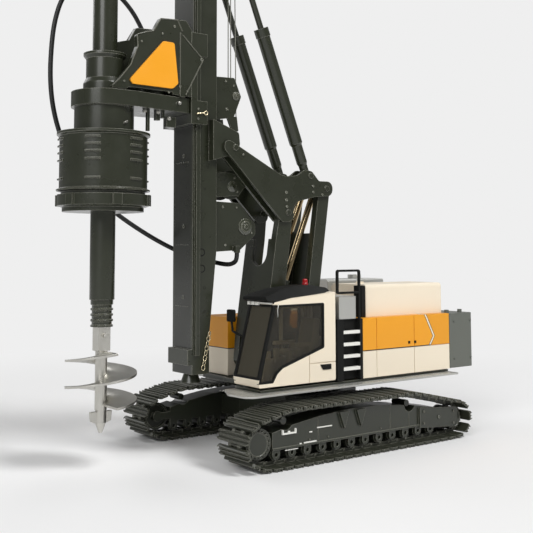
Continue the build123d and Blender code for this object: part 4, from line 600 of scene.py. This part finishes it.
BOLT = (
    # height over the face in mm, share of the radius
    (-0.3, 1.0), (0.3, 1.0), (0.42, 0.85), (0.42, 0.5), (0.2, 0.4),
)
FASTENINGS = {
    # body: rows of x, y of the face, z and radius; each is on both sides
    "rocker": (
        (16.7, 12.9, 111.8, 0.75), (16.7, 12.9, 108.4, 0.75), (16.4, 12.9, 105.4, 0.65),
        (0.9, 12.9, 115.3, 0.6), (0.9, 12.9, 112.6, 0.6), (-4.6, 12.9, 111.6, 0.6), (40.6, 12.9, 127.4, 0.55),
    ),
    "leader": (
        (44.4, 5.9, 147.8, 0.7), (45.0, 5.9, 160.2, 0.6), (40.8, 5.9, 158.6, 0.5), (45.1, 5.9, 88.1, 0.6),
        (46.5, 5.9, 104.7, 0.6), (39.2, 5.9, 104.6, 0.5), (31.0, 5.9, 93.6, 0.5), (40.2, 5.65, 117.6, 0.5),
        (38.6, 5.65, 111.6, 0.5),
    ),
    "sledge": (
        (72.0, 11.4, 154.1, 0.6), (74.9, 11.4, 179.0, 0.6), (80.6, 11.4, 175.2, 0.5),
        (98.2, 11.4, 153.4, 0.5), (77.4, 11.4, 151.0, 0.5), (90.4, 11.4, 170.6, 0.5),
        (61.4, 11.7, 166.6, 0.8), (68.6, 11.7, 152.2, 0.45), (63.0, 11.5, 145.4, 0.5),
        (63.0, 11.5, 141.2, 0.5),
    ),
    "undercarriage": (
        (-36.0, 45.1, 13.8, 0.6), (-36.0, 45.1, 8.6, 0.6), (-55.6, 45.1, 12.2, 0.6), (-55.6, 45.1, 6.8, 0.6),
        (-45.8, 45.1, 10.4, 0.9), (30.0, 44.1, 9.6, 0.4), (20.0, 44.1, 9.4, 0.4), (-10.0, 44.1, 9.4, 0.4),
    ),
    "uppercarriage": (
        (-72.0, 32.0, 51.5, 0.5), (-72.0, 32.0, 33.5, 0.5), (-84.0, 32.0, 51.5, 0.5),
        (-84.0, 32.0, 33.5, 0.5),
    ),
}
HUBS = (
    # x, z, radius of the stepped hubs on the winch plates and the share of their height that is kept
    (39.5, 154.1, 1.9, 1.0), (34.4, 96.3, 3.6, 1.0), (41.4, 113.8, 2.4, 0.16),
)
HUB_Y = 5.9                 # outer face of the winch plates
HUB = ((-0.2, 1.0), (0.35, 1.0), (0.5, 0.9), (0.5, 0.66), (0.9, 0.62), (0.9, 0.3), (1.2, 0.26))
DRUM_BOLTS = (
    # radius of the circle, z of the face, bolts, bolt radius; on the drive sleeve and the gearbox
    (14.2, 133.0, 12, 0.6), (10.4, 149.6, 10, 0.55),
)
FIRST_BOLT = 0.2            # radians from the front to the first bolt of a circle
DRIVE_AXIS = 100.9          # x of the Kelly axis


class RIG_OT_fastenings(bpy.types.Operator):
    """Sets bolts, hubs and bolt circles on the rocker, leader, drill head, track frames and tail weight"""
    bl_idname = "rig.fastenings"
    bl_label = "Fastenings"

    def execute(self, context):
        for body, rows in FASTENINGS.items():
            skins = []
            for x, y, z, radius in rows:
                skins.append(turned((x, y, z), (0, 1, 0), [(h, r * radius) for h, r in BOLT]))
            if body == "leader":
                skins += [turned((x, HUB_Y, z), (0, 1, 0), [(h * share, r * radius) for h, r in HUB], 28)
                          for x, z, radius, share in HUBS]
            slot = {"undercarriage": "frame_dark", "uppercarriage": "weight_grey"}.get(body, "rig_dark")
            look = "bolt" if slot == "rig_dark" else slot
            piece(f"fastenings_{body}", on_both_sides(skins), body, finish(look))
        for body, (circle, z, count, radius) in zip(("drive", "sledge"), DRUM_BOLTS):
            angle = np.linspace(0, 2 * np.pi, count, endpoint=False) + FIRST_BOLT
            centres = np.c_[DRIVE_AXIS + circle * np.cos(angle), circle * np.sin(angle), z + 0 * angle]
            skin = turned(centres, (0, 0, 1), [(h, r * radius) for h, r in BOLT], 12)
            piece(f"bolt_circle_{body}", [skin], body, finish("rig_dark"))
        return {"FINISHED"}


# Ropes and chain

ROPE_R = 0.22
# x, z and radius of the rope line on its winches and sheaves
UPPER_WINCH, MIDDLE_WINCH = (44.4, 152.4, 3.9), (41.4, 114.6, 4.1)
REAR_SHEAVE, FRONT_SHEAVE = (47.0, 589.5, 6.9), (94.4, 590.0, 6.9)
KELLY_ROPE_LOW = 350.0      # the rope runs on down inside the Kelly bar
ROPES = (
    # winch, y at the winch, y in the sheave; the first one goes on over the head to the Kelly bar
    (UPPER_WINCH, 1.4, 0.0), (UPPER_WINCH, 3.4, 0.9), (MIDDLE_WINCH, 3.5, -0.9),
)
SWIVEL_Z = 470.0            # foot of the swivel on the Kelly bar
SWIVEL = ((-0.5, 2.2), (2.0, 2.2), (2.6, 1.4), (7.0, 1.2), (8.0, 0.6))   # height over its foot, radius
CHAIN_TOP, CHAIN_LOW = (54.9, 50.6), (57.9, 36.8)   # x and z of the first and last links' middles
CHAIN_Y = 8.5
CHAIN_LINKS = 8
CHAIN_TURN = 15.0           # degrees that each link turns from the leader's side, one way and the other
LINK_RADII = (1.1, 0.74)    # half length and half width of a link's centre line
LINK_WIRE = 0.2             # radius of its wire


def rope_line(winch, y_low, y_high, over):
    """Points of a rope from a winch up to the rear sheave and, where over is set, down to the Kelly bar."""
    quarter = np.linspace(np.pi, np.pi / 2, 10)
    x, z, r = REAR_SHEAVE
    line = [np.array([[winch[0] - winch[2], y_low, winch[1]]]),
            np.c_[x + r * np.cos(quarter), y_high + 0 * quarter, z + r * np.sin(quarter)]]
    if over:
        x, z, r = FRONT_SHEAVE
        down = quarter - np.pi / 2
        line.append(np.c_[x + r * np.cos(down), y_high + 0 * down, z + r * np.sin(down)])
        line.append(np.array([[DRIVE_AXIS, y_high, KELLY_ROPE_LOW]]))
    return np.concatenate(line)


def chain_skins():
    """Links along a line, each an oval ring of wire that is turned a little from the leader's side.

    A ring's centre line is a times cos u along the chain plus b times sin u across it, and its wire adds
    the wire's radius times cos v outwards in the ring's plane and sin v across that plane.
    """
    top, low = (np.array([x, CHAIN_Y, z]) for x, z in (CHAIN_TOP, CHAIN_LOW))
    along = (low - top) / np.linalg.norm(low - top)
    u = np.linspace(0, 2 * np.pi, 20, endpoint=False)[:, None, None]
    v = np.linspace(0, 2 * np.pi, 8, endpoint=False)[None, :, None]
    skins = []
    for k in range(CHAIN_LINKS):
        centre = top + (low - top) * k / (CHAIN_LINKS - 1)
        turn = np.radians(CHAIN_TURN * (-1) ** k)
        flat = np.cos(turn) * np.cross(along, (0.0, 1.0, 0.0)) + np.sin(turn) * np.array([0.0, 1.0, 0.0])
        side = np.cross(along, flat)
        a, b = LINK_RADII
        out = np.cos(u) * along + np.sin(u) * flat
        ring = centre + a * np.cos(u) * along + b * np.sin(u) * flat
        rows = ring + LINK_WIRE * (np.cos(v) * out + np.sin(v) * side)
        rows = np.concatenate([rows, rows[:1]])
        skins.append(lofted(rows[None], capped=False))
    return skins


class RIG_OT_ropes(bpy.types.Operator):
    """Runs the winch ropes up the leader's back and over its head, and hangs the short chain at its foot"""
    bl_idname = "rig.ropes"
    bl_label = "Ropes and chain"

    def execute(self, context):
        for k, (winch, y_low, y_high) in enumerate(ROPES):
            skin = tube(rope_line(winch, y_low, y_high, k == 0), ROPE_R)
            piece(f"rope_{k + 1}", [skin], "leader", finish("rope"))
        piece("foot_chain", chain_skins(), "leader", finish("brass"))
        swivel = turned((DRIVE_AXIS, 0, SWIVEL_Z), (0, 0, 1), SWIVEL)
        piece("rope_swivel", [swivel], "kelly", finish("bright_metal"))
        return {"FINISHED"}


# Sledge trim

SHIELD_BEAD = (
    # x and z of the bead along the rim of a shield
    (70.9, 177.6), (73.4, 182.0), (81.4, 181.4), (84.8, 175.8), (88.4, 174.8), (92.4, 173.2),
    (92.0, 168.4), (95.2, 160.5), (99.8, 154.6), (103.2, 151.2),
)
COVER_ROD = ((70.8, 175.8), (60.8, 166.6), (69.4, 150.6))   # x and z of the rod over a cover
BEAD_Y, ROD_Y = 11.45, 11.9
BEAD_R = 0.28
EYE_AT = (59.3, 12.1, 143.9)   # middle of the brass eye on the near grip
EYE_RADII = (0.8, 0.26)     # radius of its ring and of its wire
EYE_SHANK = (64.0, 12.0, 143.3)   # the shank's end
HANGERS = (
    # x0, x1, y0, y1, z0, z1 of the fittings that hang under the gearbox
    (84.6, 85.8, 7.2, 8.6, 134.6, 143.6), (79.6, 81.6, 6.6, 8.4, 139.4, 143.6),
    (72.0, 76.4, 6.4, 8.4, 137.0, 141.4), (77.2, 78.4, 6.6, 8.0, 140.6, 143.6),
)
NIPPLES = (
    # x, y and z, direction, length, radius of the silver fittings
    ((97.9, 11.3, 136.2), (-0.35, 0.8, 0.5), 1.5, 0.6), ((72.2, 11.3, 147.0), (0.0, 1.0, 0.0), 0.7, 0.7),
    ((80.6, 8.2, 142.9), (0.0, 1.0, 0.0), 0.7, 1.0), ((75.4, 8.2, 140.6), (0.0, 1.0, 0.0), 0.6, 0.9),
    ((86.8, 8.0, 142.8), (0.0, 1.0, 0.0), 0.6, 0.8),
)


def boxes(rows):
    """Upright boxes from rows of x0, x1, y0, y1, z0 and z1."""
    return [prisms([[(x0, z0), (x1, z0), (x1, z1), (x0, z1)]], y0, y1) for x0, x1, y0, y1, z0, z1 in rows]


def as_rod(points, y, radius, steps=4):
    """A round bar along straight runs of x and z at one y, with a few rings to each run."""
    points = np.asarray(points, float)
    share = np.arange(0, len(points) - 1 + 1e-6, 1 / steps)
    x, z = (np.interp(share, np.arange(len(points)), points[:, i]) for i in (0, 1))
    return tube(np.c_[x, y + 0 * x, z], radius)


class RIG_OT_sledge_trim(bpy.types.Operator):
    """Adds the beads and rods of the shields, the brass eye and the fittings under the gearbox"""
    bl_idname = "rig.sledge_trim"
    bl_label = "Sledge trim"

    def execute(self, context):
        beads = [as_rod(SHIELD_BEAD, BEAD_Y, BEAD_R), as_rod(COVER_ROD, ROD_Y, BEAD_R)]
        piece("shield_beads", on_both_sides(beads), "sledge", finish("rig_dark"))
        piece("gear_hangers", boxes(HANGERS), "sledge", finish("rig_dark"))
        angle = np.linspace(0, 2 * np.pi, 24)
        x, y, z = EYE_AT
        ring, wire = EYE_RADII
        loop = np.c_[x + ring * np.cos(angle), y + 0 * angle, z + ring * np.sin(angle)]
        shank = tube([(x + ring, y, z), EYE_SHANK], wire * 1.3)
        piece("brass_eye", [tube(loop, wire), shank], "sledge", finish("brass"))
        nipples = [turned(at, heading, [(-0.4, r), (length, r), (length, 0.55 * r), (length + 0.6, 0.5 * r)])
                   for at, heading, length, r in NIPPLES]
        piece("silver_fittings", nipples, "sledge", finish("bright_metal"))
        return {"FINISHED"}


# Leader trim

GROOVE_HOLES = (
    # y, z, radius of the rings on the front of the leader
    (0.5, 126.3, 0.9), (0.5, 96.0, 0.9), (0.5, 66.0, 0.9), (0.5, 250.0, 0.9), (0.5, 300.0, 0.9),
)
GROOVE_RING = ((0, 0), (0.16, 0), (0.16, -0.3), (0.06, -0.35))   # height, and what adds to the radius
SIDE_HOLE_SHADOWS = (
    # x, z, radius of the black discs on the leader's sides, painted shade where they are pierced
    (58.5, 85.0, 1.7), (58.4, 78.1, 1.7), (57.0, 70.0, 0.6), (57.0, 112.0, 0.5), (57.0, 60.0, 0.5),
)
SIDE_RING = ((0, 1), (0.12, 1), (0.12, 0.8), (0.04, 0.75))   # height, share of the radius
FRONT_X = (62.95, 63.1)     # foot and top of the marks on the leader's front
SIDE_Y = 7.75               # foot of the rings on its sides
DASH_Z = (123.3, 88.0, 62.0)
DASH_Y = (-5.4, 5.0, 1.8)   # first dash, end and pitch of a row of dashes
DASH = (0.9, 0.35)          # width and height of a dash


class RIG_OT_leader_trim(bpy.types.Operator):
    """Marks the rings and dashes of the leader's front, and sets black discs of painted shade where its sides
    are pierced
    """
    bl_idname = "rig.leader_trim"
    bl_label = "Leader trim"

    def execute(self, context):
        rings = [turned((FRONT_X[0], y, z), (1, 0, 0), [(h, r + more) for h, more in GROOVE_RING], 24)
                 for y, z, r in GROOVE_HOLES]
        dashes = [(*FRONT_X, y, y + DASH[0], z, z + DASH[1]) for z in DASH_Z for y in np.arange(*DASH_Y)]
        piece("leader_marks", rings + boxes(dashes), "leader", finish("rig_dark"))
        # painted shade: black discs stand for the dark insides of the openings in the leader's sides
        hole_shadows = [turned((x, SIDE_Y, z), (0, 1, 0), [(h, share * r) for h, share in SIDE_RING], 24)
                 for x, z, r in SIDE_HOLE_SHADOWS]
        piece("leader_hole_shadows", on_both_sides(hole_shadows), "leader", finish("black"))
        return {"FINISHED"}


# Upper carriage trim

DOOR_HANDLE = ((13.4, 36.9), (7.3, 36.9), (7.3, 34.7), (11.9, 34.7))   # x and z
HANDLE_Y = (31.7, 32.15)
LATCHES = ((-40.9, 43.2), (-44.9, 43.2))   # x and z of their middles
LATCH_HALF = 0.55
LATCH_Y = (31.9, 32.3)
MIRROR_ARM = (
    (36.4, 32.3, 63.4), (37.2, 33.0, 62.2), (37.6, 33.2, 60.6), (37.2, 33.0, 59.0), (36.6, 32.0, 58.2),
)
MIRROR_ARM_R = 0.2
FRAME_MARKS = (
    # x0, x1, y0, y1, z0, z1 of the bare edges on a track frame
    (37.2, 44.3, 44.0, 44.9, 13.0, 13.6), (37.2, 37.8, 44.0, 44.9, 13.6, 14.9),
    (43.7, 44.3, 44.0, 44.9, 13.6, 14.9), (40.2, 41.2, 44.0, 44.6, 13.6, 14.2),
    (18.0, 26.0, 44.0, 44.5, 13.5, 13.95), (26.4, 33.0, 44.0, 44.5, 8.3, 8.8),
    (34.2, 35.2, 44.0, 44.4, 8.2, 8.7), (28.6, 30.0, 44.0, 44.4, 12.2, 12.7),
    (36.0, 42.6, 44.0, 44.4, 6.6, 6.9),
)
CAB_INSIDE = (
    # x0, x1, y0, y1, z0, z1 of the posts, consoles and panels that show through the glass
    (6.0, 6.8, 16.4, 29.8, 32.0, 47.0), (8.0, 9.2, 15.7, 16.9, 32.0, 62.0),
    (22.0, 23.2, 15.7, 16.9, 32.0, 62.0), (8.0, 38.0, 15.7, 16.6, 32.0, 38.6),
    (8.0, 36.0, 15.7, 16.6, 60.2, 62.0), (36.2, 40.4, 19.0, 27.0, 31.2, 41.0),
    (35.0, 38.0, 20.6, 25.4, 41.0, 43.4), (18.0, 28.0, 26.6, 28.8, 37.4, 39.6),
    (26.0, 28.0, 26.8, 28.4, 39.6, 43.6), (18.0, 28.0, 17.4, 19.4, 37.4, 39.6),
    (26.0, 28.0, 17.8, 19.2, 39.6, 43.6),
)
STEP_STUDS = (
    # x from, x to, y from, y to, pitch of the studs on the near walkway
    (-66.0, 44.0, 33.0, 36.6, 1.8), (46.5, 54.5, 15.0, 35.0, 1.8),
)
STUD = ((-0.1, 0.35), (0.1, 0.35), (0.16, 0.2))   # height over the walkway, radius
WALK_TOP = 27.65


class RIG_OT_carriage_trim(bpy.types.Operator):
    """Adds handle, latches, mirror arm, cab fittings, walkway studs and the bare edges of the track frames"""
    bl_idname = "rig.carriage_trim"
    bl_label = "Carriage trim"

    def execute(self, context):
        dark = [prisms([DOOR_HANDLE], *HANDLE_Y)]
        dark += boxes([(x - LATCH_HALF, x + LATCH_HALF, *LATCH_Y, z - LATCH_HALF, z + LATCH_HALF)
                       for x, z in LATCHES])
        piece("handle_and_latches", dark, "uppercarriage", finish("black"))
        arm = spline("mirror_arm", metres(MIRROR_ARM), MIRROR_ARM_R * MM)
        arm.data.materials.append(finish("silver"))
        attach(arm, "uppercarriage")
        piece("cab_inside", boxes(CAB_INSIDE), "uppercarriage", finish("seat"))
        studs = []
        for x0, x1, y0, y1, pitch in STEP_STUDS:
            x, y = np.meshgrid(np.arange(x0, x1, pitch), np.arange(y0, y1, pitch))
            centres = np.c_[x.ravel(), y.ravel(), np.full(x.size, WALK_TOP)]
            studs.append(turned(centres, (0, 0, 1), STUD, 6))
        piece("walkway_studs", studs, "uppercarriage", finish("silver"))
        piece("frame_edges", on_both_sides(boxes(FRAME_MARKS)), "undercarriage", finish("white"))
        return {"FINISHED"}


# Studio

CAMERA_PLACE = (269.74, 330.54, 84.66)   # mm from the slew axis
CAMERA_YAW = 52.70          # degrees from the rig's front towards its cab side
CAMERA_RISE = 4.46          # degrees above level
CAMERA_ROLL = 0.09
FOCAL_LENGTH = 61.16        # mm
SENSOR = 36.0               # mm
FRAME_SHIFT = -0.1578       # the picture is the lower part of a taller view
CLIP = (0.01, 20.0)         # metres
FLOOR_RINGS = (0.2, 0.6, 4.0)   # metres
FLOOR_SIDES = 96
FLOOR_FADE = (0.16, 0.42)   # metres from the middle between which the floor turns into even light
SOFT_LIGHT = 0.2            # strength of the world's light on the model


class RIG_OT_studio(bpy.types.Operator):
    """Sets the pale floor, the soft lamps and the camera"""
    bl_idname = "rig.studio"
    bl_label = "Studio"

    def execute(self, context):
        studio = context.scene.rig_studio
        floor_and_backdrop(studio)
        lamps(studio)
        camera()
        return {"FINISHED"}


def floor_and_backdrop(studio):
    """A round floor that turns into even light away from the model, and a world of the same light."""
    made, tree = blank("studio_floor")
    place = add(tree, "ShaderNodeTexCoord").outputs["Object"]
    away = add(tree, "ShaderNodeVectorMath", {0: place}, operation="LENGTH").outputs["Value"]
    share = add(tree, "ShaderNodeMapRange", {"Value": away, "From Min": FLOOR_FADE[0],
                                             "From Max": FLOOR_FADE[1]}, interpolation_type="SMOOTHSTEP")
    near = add(tree, "ShaderNodeBsdfDiffuse", {"Color": tuple(studio.floor)})
    far = add(tree, "ShaderNodeEmission", {"Color": tuple(studio.floor), "Strength": 1.0})
    both = add(tree, "ShaderNodeMixShader", {"Fac": share.outputs["Result"]})
    tree.links.new(near.outputs["BSDF"], both.inputs[1])
    tree.links.new(far.outputs["Emission"], both.inputs[2])
    add(tree, "ShaderNodeOutputMaterial", {"Surface": both.outputs["Shader"]})
    angle = np.linspace(0, 2 * np.pi, FLOOR_SIDES, endpoint=False)
    rings = np.array([r * np.c_[np.cos(angle), np.sin(angle), 0 * angle] for r in FLOOR_RINGS])[None]
    vertices, faces = lofted(rings, capped=False)
    faces.append(list(range(FLOOR_SIDES)))
    mesh = bpy.data.meshes.new("studio_floor")
    mesh.from_pydata(vertices.tolist(), [], faces)
    mesh.materials.append(made)
    floor = bpy.data.objects.new("studio_floor", mesh)
    bpy.context.scene.collection.objects.link(floor)
    outward(mesh)

    world = bpy.data.worlds.new("studio_light")
    bpy.context.scene.world = world
    world.use_nodes = True
    tree = world.node_tree
    tree.nodes.clear()
    path = add(tree, "ShaderNodeLightPath")
    seen = add(tree, "ShaderNodeMath", operation="MAXIMUM")
    tree.links.new(path.outputs["Is Camera Ray"], seen.inputs[0])
    tree.links.new(path.outputs["Is Transmission Ray"], seen.inputs[1])
    soft = add(tree, "ShaderNodeBackground", {"Color": (1.0, 1.0, 1.0, 1.0), "Strength": SOFT_LIGHT})
    backdrop = add(tree, "ShaderNodeBackground", {"Color": tuple(studio.floor), "Strength": 1.0})
    both = add(tree, "ShaderNodeMixShader", {"Fac": seen.outputs[0]})
    tree.links.new(soft.outputs["Background"], both.inputs[1])
    tree.links.new(backdrop.outputs["Background"], both.inputs[2])
    add(tree, "ShaderNodeOutputWorld", {"Surface": both.outputs["Shader"]})


LAMP_AIM = (0.0, 0.0, 0.12)   # metres
LAMPS = (
    # name, place in metres, width in metres, watts
    ("key", (-0.4, 1.0, 1.25), 0.5, 16.0),
    ("front", (1.0, 0.6, 0.7), 0.7, 8.0),
    ("rear", (-0.9, -0.6, 1.0), 0.8, 3.3),
    ("far_side", (0.3, -1.1, 0.8), 0.7, 3.2),
)


def lamps(studio):
    """Large square area lamps that all point at one spot over the middle of the model."""
    for name, place, width, watts in LAMPS:
        light = bpy.data.lights.new(name, "AREA")
        light.size = width
        light.energy = watts * studio.key
        lamp = bpy.data.objects.new(name, light)
        lamp.location = place
        lamp.rotation_euler = (Vector(LAMP_AIM) - Vector(place)).to_track_quat("-Z", "Y").to_euler()
        bpy.context.scene.collection.objects.link(lamp)


def camera():
    """The camera at the photograph's viewing angle."""
    yaw, rise = np.radians((CAMERA_YAW, CAMERA_RISE))
    ahead = Vector((-np.cos(yaw) * np.cos(rise), -np.sin(yaw) * np.cos(rise), np.sin(rise)))
    right = ahead.cross(Vector((0, 0, 1))).normalized()
    turn = Matrix.Rotation(np.radians(CAMERA_ROLL), 3, ahead)
    right = turn @ right
    up = right.cross(ahead)
    lens = bpy.data.cameras.new("photo_camera")
    lens.lens = FOCAL_LENGTH
    lens.sensor_width = SENSOR
    lens.shift_y = FRAME_SHIFT
    lens.clip_start, lens.clip_end = CLIP
    view = bpy.data.objects.new("photo_camera", lens)
    axes = Matrix((right, up, -ahead)).transposed().to_4x4()
    view.matrix_world = Matrix.Translation(Vector(metres(CAMERA_PLACE))) @ axes
    bpy.context.scene.collection.objects.link(view)
    bpy.context.scene.camera = view
    bpy.context.scene.view_settings.view_transform = "Standard"


# Panel and registration

class RIG_PT_panel(bpy.types.Panel):
    """Lists the steps that dress the rig."""
    bl_label = "Piling rig"
    bl_idname = "RIG_PT_panel"
    bl_space_type = "VIEW_3D"
    bl_region_type = "UI"
    bl_category = "Piling rig"

    def draw(self, context):
        for step in STEPS:
            self.layout.operator(step.bl_idname)
        for group in ("rig_colours", "rig_sizes", "rig_studio"):
            settings = getattr(context.scene, group)
            for key in settings.__annotations__:
                self.layout.prop(settings, key)


STEPS = (RIG_OT_finishes, RIG_OT_hose, RIG_OT_tracks, RIG_OT_wheel_faces, RIG_OT_fastenings, RIG_OT_ropes,
         RIG_OT_sledge_trim, RIG_OT_leader_trim, RIG_OT_carriage_trim, RIG_OT_studio)
GROUPS = (("rig_colours", RigColours), ("rig_sizes", RigSizes), ("rig_studio", StudioSettings))


def register():
    """Adds the settings, the steps and the panel."""
    for name, group in GROUPS:
        bpy.utils.register_class(group)
        setattr(bpy.types.Scene, name, bpy.props.PointerProperty(type=group))
    for step in STEPS:
        bpy.utils.register_class(step)
    bpy.utils.register_class(RIG_PT_panel)


def unregister():
    """Takes the panel, the steps and the settings away again."""
    bpy.utils.unregister_class(RIG_PT_panel)
    for step in reversed(STEPS):
        bpy.utils.unregister_class(step)
    for name, group in reversed(GROUPS):
        delattr(bpy.types.Scene, name)
        bpy.utils.unregister_class(group)


def main():
    """Registers the add-on and runs its steps in order."""
    register()
    for step in STEPS:
        group, name = step.bl_idname.split(".")
        getattr(getattr(bpy.ops, group), name)()


if __name__ == "__main__":
    main()
